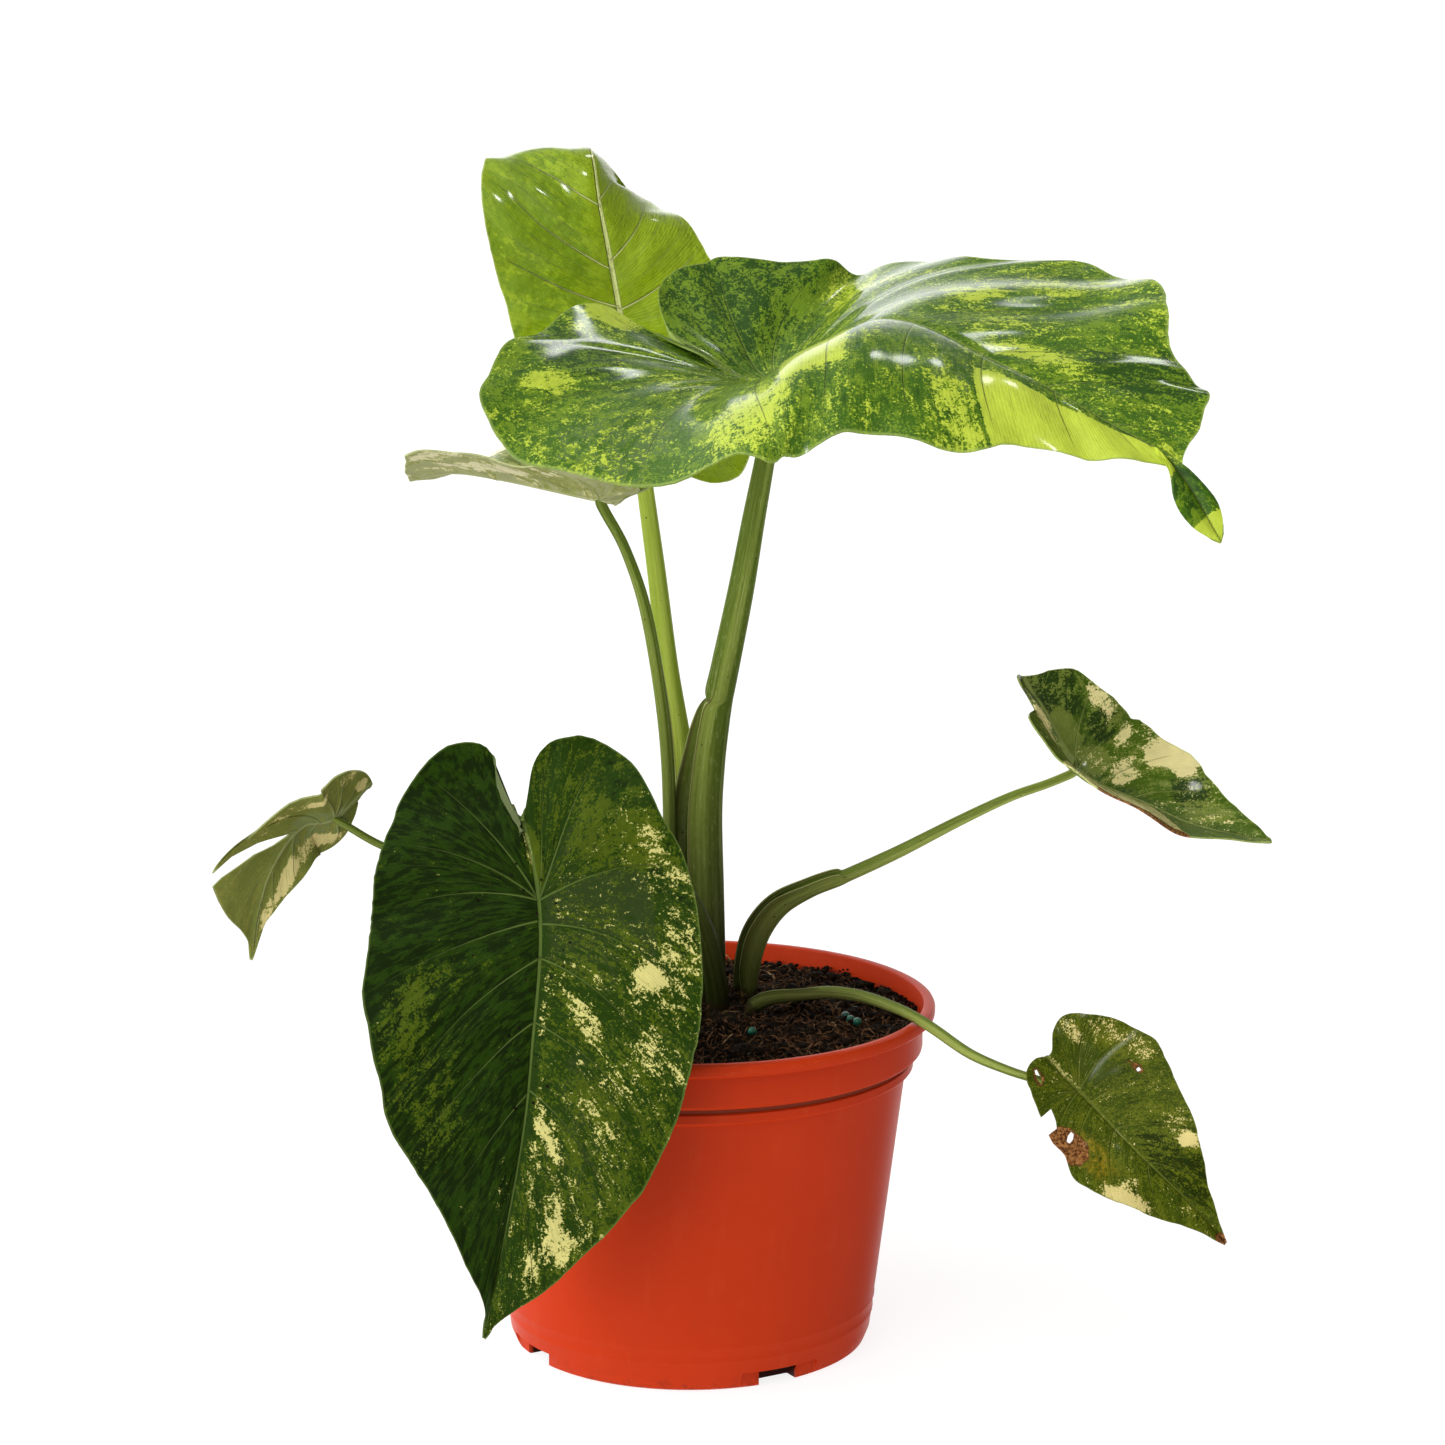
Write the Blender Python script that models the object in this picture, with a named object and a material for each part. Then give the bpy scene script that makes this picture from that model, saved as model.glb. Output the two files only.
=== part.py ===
"""Potted variegated philodendron with seven leaves, in a plain red-orange nursery pot.

All sizes and places are in millimetres and become metres where a mesh is made. The origin is the
centre of the pot's flat underside, +Z is up and -Y is the front. A blade is a flat outline that is
bent over its midrib: stations along the midrib say where it runs, which way the upper side faces,
and how far each half folds and curls. A leaf stalk is a tube with an open sheath at its foot.
"""
import math
from dataclasses import dataclass

import bmesh
import bpy
import numpy as np
from mathutils import Matrix, Vector, noise
from mathutils.bvhtree import BVHTree

MM = 0.001
GAP = 0.3

# pot
POT_HEIGHT = 110.0
POT_STEPS = 48
RIM_RADIUS = 77.5
MOUTH_RADIUS = 73.6
BAND_RADIUS = 73.6
WALL_TOP_RADIUS = 68.3
BASE_RADIUS = 57.5
FOOT_RADIUS = 56.0
FOOT_ROUND = 1.5
FOOT_RISE = 0.8
WALL = 1.8
FLOOR = 3.0
FLOOR_CHAMFER = 1.5
LIP_HEIGHT = 4.0
LIP_ROUND = 1.0
LIP_EDGE = 0.8
BAND_BOTTOM = 95.5
BAND_CHAMFER = 0.6
STEP_BOTTOM = 88.5
STEP_OUT = 2.4
STEP_TOP_DROP = 3.5
STEP_EDGE_DROP = 2.4
GROOVE_OUT = 1.6
GROOVE_DROP = 1.8
CHINE_HEIGHT = 4.5
MOUTH_TAPER = 1.2

# drainage round the bottom edge of the pot
DRAIN_COUNT = 4
DRAIN_FIRST_ANGLE = 30.0
POCKET_WIDTH = 27.0
POCKET_DEPTH = 1.0
DRAIN_WIDTH = 13.5
DRAIN_DEPTH = 7.0
DRAIN_HEIGHT = 5.5
DRAIN_CUT_LENGTH = 20.0
DRAIN_CUT_BELOW = 3.0

# potting mix and crown
SOIL_EDGE = 103.8
SOIL_CROWN = 106.4
SOIL_LUMP = 0.8
SOIL_LUMP_LENGTH = 9.0
SOIL_LUMP_PLACE = 1.7
SOIL_STEPS = 40
SOIL_RINGS = 6
SOIL_MOUTH_GAP = 0.3
SOIL_WALL_GAP = 0.2
SOIL_SHOULDER_RISE = 0.4
SOIL_CHINE_RISE = 1.2
SOIL_FOOT_INSET = 2.2
CROWN_CENTRE = (7.0, 3.0)
CROWN_RADIUS = 19.0
CROWN_TOP = 107.0
CROWN_BOTTOM = 85.3
CROWN_TAPER = 4.0
CROWN_SIDES = 24

# leaves
BLADE_THICKNESS = 0.8
LOBE_ROWS = 12
NOTCH_ROWS = 4
VEIN_ROWS = 15
BLADE_COLUMNS = 5
VEIN_SWEEP = 0.62
STALK_SIDES = 14
PRILL_RADIUS = 1.35
PRILL_BEARING = 0.7
PRILL_DROP = 20.0
CUT_REACH = 3.0


def material(name, colour, roughness, metallic=0.0):
    """Returns a material with a Principled shader of this colour and roughness."""
    mat = bpy.data.materials.new(name)
    mat.use_nodes = True
    shader = mat.node_tree.nodes["Principled BSDF"]
    shader.inputs["Base Color"].default_value = (*colour, 1.0)
    shader.inputs["Roughness"].default_value = roughness
    shader.inputs["Metallic"].default_value = metallic
    return mat


def add_object(bm, name, mat):
    """Turns a bmesh in millimetres into a named object in metres."""
    bmesh.ops.scale(bm, vec=(MM, MM, MM), verts=bm.verts)
    mesh = bpy.data.meshes.new(name)
    bm.to_mesh(mesh)
    bm.free()
    mesh.shade_smooth()
    mesh.set_sharp_from_angle(angle=math.radians(40))
    mesh.materials.append(mat)
    obj = bpy.data.objects.new(name, mesh)
    bpy.context.collection.objects.link(obj)
    return obj


def smooth_through(values, steps):
    """Returns points of a smooth curve through the given points, with steps between each two."""
    p = np.asarray(values, float)
    slope = np.zeros_like(p)
    slope[1:-1] = (p[2:] - p[:-2]) / 2
    slope[0] = p[1] - p[0]
    slope[-1] = p[-1] - p[-2]
    out = []
    for i in range(len(p) - 1):
        for k in range(steps):
            t = k / steps
            out.append(
                (2 * t**3 - 3 * t**2 + 1) * p[i]
                + (t**3 - 2 * t**2 + t) * slope[i]
                + (3 * t**2 - 2 * t**3) * p[i + 1]
                + (t**3 - t**2) * slope[i + 1]
            )
    out.append(p[-1])
    return np.array(out)


def arc_lengths(points):
    """Returns the distance along a line of points, from its first point to each."""
    steps = np.linalg.norm(np.diff(points, axis=0), axis=1)
    return np.concatenate([[0.0], np.cumsum(steps)])


def unit(v):
    """Returns a vector of length one."""
    return v / np.linalg.norm(v)


def placed_grid(bm, across, along, place):
    """Adds a grid whose vertices go to place(s, t), with s and t from 0 to 1."""
    verts = bmesh.ops.create_grid(bm, x_segments=across, y_segments=along, size=0.5)["verts"]
    for v in verts:
        s, t = v.co.x + 0.5, v.co.y + 0.5
        v.co = Vector(place(s, t))
    return verts


@dataclass
class Blade:
    """One heart-shaped blade.

    Each station is a place on the midrib, the way the upper side faces there, the angles in degrees
    by which the left and the right half rise, and how much that angle grows with each millimetre.
    The stalk meets the blade at the station numbered joint. Outlines run from the notch between the
    lobes to the tip, as (across, along), and along is 0 at the joint. Tears and holes are flat
    outlines too. The midrib's direction is taken over reach on each side, so a long reach rounds
    off a sharp bend in the halves.
    """

    name: str
    colour: tuple
    stations: list
    joint: int
    right: list
    left: list
    wave: tuple = (0.0, 40.0, 0.0)
    holes: tuple = ()
    reach: float = 1.0
    steps: int = 16

    def __post_init__(self):
        rows = [(*at, *facing, *fold) for at, facing, fold in self.stations]
        self.line = smooth_through(rows, self.steps)
        self.run = arc_lengths(self.line[:, :3])
        self.run = self.run - self.run[self.steps * self.joint]

    def midrib(self, along):
        """Returns place, direction, right side, upper side and folds at a distance along."""
        at = min(max(along, self.run[0]), self.run[-1])
        row = np.array([np.interp(at, self.run, c) for c in self.line.T])
        ends = []
        for side in (-self.reach, self.reach):
            near = min(max(at + side, self.run[0]), self.run[-1])
            ends.append(np.array([np.interp(near, self.run, c) for c in self.line.T[:3]]))
        ahead = unit(ends[1] - ends[0])
        upper = row[3:6] - ahead * np.dot(ahead, row[3:6])
        upper = unit(upper)
        place = row[:3] + ahead * (along - at)
        return place, ahead, np.cross(ahead, upper), upper, np.radians(row[6:])

    def point(self, across, along, margin=0.0):
        """Returns the place in space of a point of the flat outline."""
        place, _, right, upper, fold = self.midrib(along)
        side = 1 if across >= 0 else 0
        angle, curl = fold[side], fold[2 + side]
        width = abs(across)
        if abs(curl) < 1e-6:
            out, rise = width * math.cos(angle), width * math.sin(angle)
        else:
            out = (math.sin(angle + curl * width) - math.sin(angle)) / curl
            rise = (math.cos(angle) - math.cos(angle + curl * width)) / curl
        height, length, start = self.wave
        rise += height * margin**2 * math.sin(2 * math.pi * (along - start) / length)
        return place + right * math.copysign(out, across) + upper * rise

    def half(self, outline):
        """Returns margin points, and for each the point where its vein starts.

        The first rows start between the notch and the joint, the next ones fan out from the joint
        into the lobe. The others start at even steps along the midrib, the same on both halves, and
        lean forward by VEIN_SWEEP.
        """
        fine = smooth_through(outline, 8)
        run = arc_lengths(fine)
        start = fine[:, 1] - VEIN_SWEEP * np.abs(fine[:, 0])
        lobe_end = np.nonzero(start < 0)[0][-1]
        start = np.maximum.accumulate(start[lobe_end:])
        feet = fine[-1, 1] * np.arange(VEIN_ROWS + 1) / VEIN_ROWS
        veins = np.interp(feet, start, run[lobe_end:])
        where = np.concatenate([np.linspace(0, veins[0], LOBE_ROWS + 1)[:-1], veins])
        margin = np.stack([np.interp(where, run, fine[:, k]) for k in range(2)], axis=1)
        foot = np.zeros_like(margin)
        foot[LOBE_ROWS:, 1] = feet
        foot[:NOTCH_ROWS] = np.outer(1 - np.arange(NOTCH_ROWS) / NOTCH_ROWS, fine[0])
        return margin, foot

    def hole_cutter(self):
        """Makes one prism through the blade for each tear and hole."""
        bm = bmesh.new()
        for outline in self.holes:
            places = [self.point(*p) for p in outline]
            normals = []
            for p, at in zip(outline, places):
                right, ahead = self.point(p[0] + 1, p[1]) - at, self.point(p[0], p[1] + 1) - at
                normals.append(unit(np.cross(ahead, right)) * CUT_REACH)
            face = bm.faces.new([bm.verts.new(at - n) for at, n in zip(places, normals)])
            lid = bmesh.ops.extrude_face_region(bm, geom=[face])["geom"]
            raised = [v for v in lid if isinstance(v, bmesh.types.BMVert)]
            for v in raised:
                nearest = min(range(len(places)), key=lambda k: np.linalg.norm(places[k] - v.co))
                v.co = Vector(places[nearest] + normals[nearest])
        bmesh.ops.recalc_face_normals(bm, faces=bm.faces)
        cutter = add_object(bm, f"{self.name}_cutter", material("cutter", (0.5, 0.5, 0.5), 0.5))
        cutter.hide_render = True
        cutter.display_type = "WIRE"
        return cutter

    def build(self, mat):
        """Makes the blade's object."""
        bm = bmesh.new()
        rows = LOBE_ROWS + VEIN_ROWS
        for outline in (self.right, self.left):
            margin, foot = self.half(outline)
            flip = outline is self.left

            def place(s, t, margin=margin, foot=foot, flip=flip):
                row = round(t * rows)
                part = 1.0 - s if flip else s
                across, along = foot[row] + (margin[row] - foot[row]) * part
                return self.point(across, along, part)

            placed_grid(bm, BLADE_COLUMNS, rows, place)
        bmesh.ops.remove_doubles(bm, verts=bm.verts, dist=0.05)
        bmesh.ops.triangulate(bm, faces=bm.faces)
        obj = add_object(bm, self.name, mat)
        solid = obj.modifiers.new("thickness", "SOLIDIFY")
        solid.thickness = BLADE_THICKNESS * MM
        solid.offset = 0.0
        if self.holes:
            cut = obj.modifiers.new("holes", "BOOLEAN")
            cut.operation = "DIFFERENCE"
            cut.object = self.hole_cutter()
        return obj


@dataclass
class Stalk:
    """One leaf stalk. Each point is x, y, z, radius, sheath share, front wing and back wing."""

    name: str
    points: list
    opening: tuple
    blade: Blade = None
    steps: int = 2

    def section(self, radius, share, front, back):
        """Returns the outline across the stalk, from a circle (share 0) to an open sheath (1)."""
        r = radius
        rim, wall = 0.75 * r, 0.2 * r
        sheath = [
            (-r, 0), (-0.71 * r, 0.71 * r), (0, r), (front / 2, 0.95 * r), (front, rim),
            (front - 0.2, rim - wall), (0.45 * front, r / 2), (0.2 * r, 0), (0.45 * back, -r / 2),
            (back - 0.2, wall - rim), (back, -rim), (back / 2, -0.95 * r), (0, -r),
            (-0.71 * r, -0.71 * r),
        ]
        out = []
        for k, (a, b) in enumerate(sheath):
            turn = math.pi - 2 * math.pi * k / STALK_SIDES
            ring = (r * math.cos(turn), r * math.sin(turn))
            out.append((ring[0] + share * (a - ring[0]), ring[1] + share * (b - ring[1])))
        return out

    def route(self):
        """Returns the rows along the stalk, up to the underside of its blade."""
        rows = [tuple(p) for p in self.points]
        place, _, _, upper, _ = self.blade.midrib(0.0)
        last = rows[-1][3]
        for depth, size in ((7.0, 1.0), (2.6, 0.9), (BLADE_THICKNESS / 2 + GAP + 0.2, 0.35)):
            rows.append((*(place - upper * depth), last * size, 0.0, last, last))
        return smooth_through(rows, self.steps)

    def build(self, mat):
        """Makes the stalk's object."""
        rows = self.route()
        count = len(rows) - 1
        rings = []
        for i, row in enumerate(rows):
            ahead = unit(rows[min(i + 1, count)][:3] - rows[max(i - 1, 0)][:3])
            if i == 0:
                ahead = np.array([0.0, 0.0, 1.0])
            u = np.array(self.opening, float)
            u = unit(u - ahead * np.dot(u, ahead))
            v = np.cross(ahead, u)
            rings.append([row[:3] + u * a + v * b for a, b in self.section(*row[3:])])
        bm = bmesh.new()
        placed_grid(
            bm, STALK_SIDES, count,
            lambda s, t: rings[round(t * count)][round(s * STALK_SIDES) % STALK_SIDES],
        )
        bmesh.ops.remove_doubles(bm, verts=bm.verts, dist=0.01)
        ends = [e for e in bm.edges if e.is_boundary]
        bmesh.ops.holes_fill(bm, edges=ends, sides=0)
        bmesh.ops.recalc_face_normals(bm, faces=bm.faces)
        return add_object(bm, self.name, mat)


DEEP_GREEN = (0.030, 0.085, 0.014)
MARBLED_GREEN = (0.110, 0.240, 0.020)
LIME = (0.300, 0.480, 0.030)
PALE_UNDERSIDE = (0.280, 0.310, 0.130)
CREAM_GREEN = (0.200, 0.270, 0.060)

FRONT = Blade(
    "blade_front", DEEP_GREEN,
    [
        ((-56, -60, 209), (-0.05, -0.85, 0.50), (4, 4, -0.12, -0.12)),
        ((-44, -78, 161), (-0.05, -0.92, 0.40), (4, 4, -0.12, -0.12)),
        ((-46, -89, 118), (-0.05, -1.00, 0.10), (8, 8, -0.12, -0.12)),
        ((-50, -92, 85), (-0.05, -1.00, 0.00), (8, 8, -0.12, -0.12)),
        ((-61, -87, 29), (-0.10, -1.00, -0.12), (6, 6, -0.12, -0.12)),
    ],
    joint=1,
    right=[
        (0, -24), (5, -33), (4, -46), (10, -51), (20, -50), (32, -41), (42, -28), (48, -13),
        (50, 4), (51, 22), (51, 34), (46, 50), (43, 62), (40, 72), (31, 84), (21, 97),
        (9, 114), (2, 126), (0, 136),
    ],
    left=[
        (0, -24), (-3, -31), (-8, -41), (-16, -45), (-26, -43), (-35, -33), (-40, -18),
        (-45, -3), (-48, 15), (-49, 30), (-48, 45), (-44, 62), (-37, 80), (-27, 98),
        (-15, 116), (-5, 128), (0, 136),
    ],
    wave=(1.2, 33.0, 6.0),
)

TOP = Blade(
    "blade_top", MARBLED_GREEN,
    [
        ((-32, 34, 334), (0, -0.10, 1.0), (24, -8, 0.0, -0.20)),
        ((5, 13, 312), (0, -0.10, 1.0), (26, 2, 0.0, -0.35)),
        ((27, 0, 306), (0, -0.10, 1.0), (22, 12, 0.0, -0.55)),
        ((59, -20, 327), (0, -0.15, 1.0), (6, 5, 0.0, -0.60)),
        ((93, -42, 316), (0, -0.30, 1.0), (6, 5, 0.0, -0.60)),
        ((121, -58, 302), (0, -0.60, 1.0), (6, 0, 0.0, -0.60)),
        ((141, -68, 290), (0, -0.70, 1.0), (4, 0, 0.0, -0.60)),
        ((156, -76, 267), (0, -0.90, 0.6), (28, 28, 0.0, 0.0)),
    ],
    joint=2,
    right=[
        (5, -18), (6, -29), (5, -46), (8, -62), (20, -67), (36, -65), (49, -68), (62, -63),
        (74, -58), (82, -46), (87, -31), (85, -16), (83, -2), (80, 14), (82, 27), (82, 40),
        (78, 52), (72, 62), (60, 70), (51, 80), (45, 94), (36, 103), (26, 109), (19, 120),
        (14, 131), (5.5, 142), (0.9, 148.5), (6, 153.5), (7.6, 160), (5.4, 168), (0, 174.5),
    ],
    left=[
        (5, -18), (2, -31), (-2, -45), (-12, -56), (-22, -58), (-31, -54), (-38, -52),
        (-45, -41), (-54, -28), (-62, -12), (-67, 4), (-67, 19), (-64, 33), (-60, 46),
        (-65, 60), (-70, 74), (-67, 90), (-61, 103), (-52, 111), (-39, 121), (-31, 132),
        (-28, 138.5), (-16, 144), (-5, 147), (-1.6, 150.5), (-4, 155), (-5.2, 162), (-3.9, 168.5),
        (0, 174.5),
    ],
    wave=(0.8, 42.0, 10.0),
    reach=20.0,
)

UPRIGHT = Blade(
    "blade_upright", LIME,
    [
        ((-18, 70, 277), (0, -1.00, 0.05), (4, 0, 0.0, 0.0)),
        ((-21, 71, 308), (0, -1.00, 0.05), (4, 0, 0.0, -0.20)),
        ((-26, 72, 338), (0, -1.00, 0.10), (4, -12, 0.0, -0.60)),
        ((-29, 74, 354), (0, -0.95, 0.25), (2, -42, 0.0, -0.50)),
        ((-31, 80, 367), (0, -0.70, 0.70), (-4, -56, 0.0, 0.0)),
        ((-33, 92, 372), (0, -0.10, 1.00), (-4, -50, 0.0, 0.0)),
        ((-35, 108, 363), (0, 0.50, 0.80), (0, -36, 0.0, 0.0)),
        ((-36, 118, 345), (0, 0.90, 0.40), (0, -25, 0.0, 0.0)),
    ],
    joint=1,
    right=[
        (0, -9), (3, -21), (8, -34), (16, -44), (26, -49), (35, -46), (39, -34), (39, -18), (37, 0),
        (35, 16), (31.5, 32), (30, 50), (27, 66), (22, 80), (15, 96), (8, 111), (0, 123),
    ],
    left=[
        (0, -9), (-3, -24), (-5, -38), (-9, -47), (-15, -47), (-24, -40), (-31, -25), (-34, -6),
        (-35, 12), (-37, 32), (-37.5, 50), (-37, 62), (-34, 74), (-28, 87), (-20, 99), (-9, 113),
        (0, 123),
    ],
    wave=(0.8, 45.0, 0.0),
)

HIGH_LEFT = Blade(
    "blade_high_left", PALE_UNDERSIDE,
    [
        ((-10, 6, 267), (0.1, 0.10, 1.0), (24, 26, 0.0, 0.0)),
        ((-28, 10, 269), (0.1, 0.10, 1.0), (24, 26, 0.0, 0.0)),
        ((-59, 24, 273), (0.0, 0.10, 1.0), (24, 30, 0.0, 0.0)),
        ((-75, 30, 274), (0.0, 0.10, 1.0), (24, 5, 0.0, 0.0)),
        ((-88, 34, 271), (-0.3, 0.10, 1.0), (24, -25, 0.0, 0.0)),
    ],
    joint=1,
    right=[
        (0, -5), (5, -12), (12, -14), (19, -8), (22, 4), (24, 18), (26, 32), (25, 42), (18, 50),
        (12, 56), (6, 62), (0, 66),
    ],
    left=[
        (0, -5), (-5, -12), (-11, -13), (-16, -7), (-17, 5), (-16, 18), (-15, 32), (-17, 44),
        (-19, 53), (-18, 59), (-12, 62), (-5, 65), (0, 66),
    ],
    wave=(0.6, 26.0, 4.0),
)

SMALL_LEFT = Blade(
    "blade_small_left", PALE_UNDERSIDE,
    [
        ((-97, -36, 188), (-0.2, 0.75, 0.65), (-12, -12, 0.0, 0.0)),
        ((-108, -40, 178), (-0.2, 0.75, 0.65), (-12, -12, 0.0, 0.0)),
        ((-117, -42, 176), (-0.3, 0.80, 0.50), (-12, -12, 0.0, 0.0)),
        ((-124, -46, 168), (-0.4, 0.85, 0.30), (-12, -12, 0.0, 0.0)),
        ((-129, -49, 156), (-0.4, 0.90, 0.20), (-12, -12, 0.0, 0.0)),
        ((-133, -48, 134), (-0.4, 0.90, 0.10), (-12, -12, 0.0, 0.0)),
    ],
    joint=1,
    right=[
        (1.2, -6), (2.4, -8.5), (4.5, -6), (6.5, -3), (9, 0), (11.8, 3), (13.2, 8), (11.8, 15),
        (10.7, 24), (8.3, 32), (5, 39), (1.8, 46), (0, 55.5),
    ],
    left=[
        (1.2, -6), (0.8, -11), (0.8, -15.5), (-6, -16), (-12, -13.5), (-16, -10), (-17.5, -5),
        (-18.5, 1), (-14.8, 6.5), (-12.8, 14.5), (-15, 24), (-18.5, 29), (-20, 31.5), (-18, 34),
        (-14, 38), (-10, 42), (-5, 46), (-1.6, 50.5), (0, 55.5),
    ],
    holes=(
        [
            (-1, 14), (-4, 17), (-10, 22), (-16, 27.5), (-26, 36), (-24, 39), (-16, 32),
            (-8.5, 25), (-3.5, 20),
        ],
    ),
)

SMALL_RIGHT = Blade(
    "blade_small_right", CREAM_GREEN,
    [
        ((106, 4, 209), (0.1, -0.80, 0.60), (14, 52, 0.0, 0.0)),
        ((121, -4, 185), (0.2, -0.70, 0.70), (14, 52, 0.0, 0.0)),
        ((143, -16, 176), (0.2, -0.70, 0.70), (14, 46, 0.0, 0.0)),
        ((157, -22, 171), (0.2, -0.75, 0.65), (10, 40, 0.0, 0.0)),
        ((179, -30, 168), (0.2, -0.75, 0.65), (5, 25, 0.0, 0.0)),
    ],
    joint=1,
    right=[
        (0, -22), (8, -23), (16, -21), (19.5, -15), (22, -5), (23, 8), (22.5, 20), (21, 32),
        (14, 42), (7, 50.5), (3, 59), (0, 66),
    ],
    left=[
        (0, -22), (1, -27), (5.5, -31), (3.2, -34.7), (-3.8, -32.5), (-16, -28), (-22, -15),
        (-25, -2), (-25, 12), (-21, 28), (-15.5, 42), (-8, 53.5), (-4.2, 60.5), (0, 66),
    ],
    wave=(0.6, 22.0, 3.0),
)

LOW_RIGHT = Blade(
    "blade_low_right", CREAM_GREEN,
    [
        ((101, -44, 112), (0.15, -0.80, 0.55), (6, 6, 0.0, 0.0)),
        ((119, -52, 95), (0.15, -0.85, 0.50), (6, 6, 0.0, 0.0)),
        ((136, -63, 79), (0.10, -0.95, 0.30), (6, 6, 0.0, 0.0)),
        ((153, -67, 63), (0.10, -1.00, 0.15), (6, 6, 0.0, 0.0)),
        ((163, -66, 51), (0.10, -1.00, 0.10), (6, 6, 0.0, 0.0)),
    ],
    joint=1,
    right=[
        (0, -13), (3, -16), (8, -15), (12, -10), (14.5, -4), (16.5, 2), (18, 8), (18, 13),
        (20, 20), (17, 28), (13, 37), (9, 47), (4, 56), (0, 65),
    ],
    left=[
        (0, -13), (-3, -15), (-8, -19), (-14, -20), (-19, -14), (-24, -8), (-28, 3), (-25, 13),
        (-21, 26), (-14, 39), (-7, 49), (-2, 59), (0, 65),
    ],
    wave=(0.7, 24.0, 5.0),
    holes=(
        [(18, -1.8), (10.9, -1.6), (12.5, 2.4), (14, 4.7), (20, 4.7)],
        [(11.3, 8.4), (13.2, 8.8), (14.8, 10), (14.4, 11), (12.6, 10.6), (11.2, 9.4)],
        [(5.4, -13.6), (6.4, -13.8), (7.8, -11.6), (8.2, -9.6), (7.2, -9.4), (6, -11.4)],
        [(-18.6, 6.4), (-17.4, 6.4), (-17.2, 7.4), (-18.4, 7.8)],
    ),
)

BLADES = (FRONT, TOP, UPRIGHT, HIGH_LEFT, SMALL_LEFT, SMALL_RIGHT, LOW_RIGHT)
STALK_FOOT = CROWN_TOP + GAP

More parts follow.
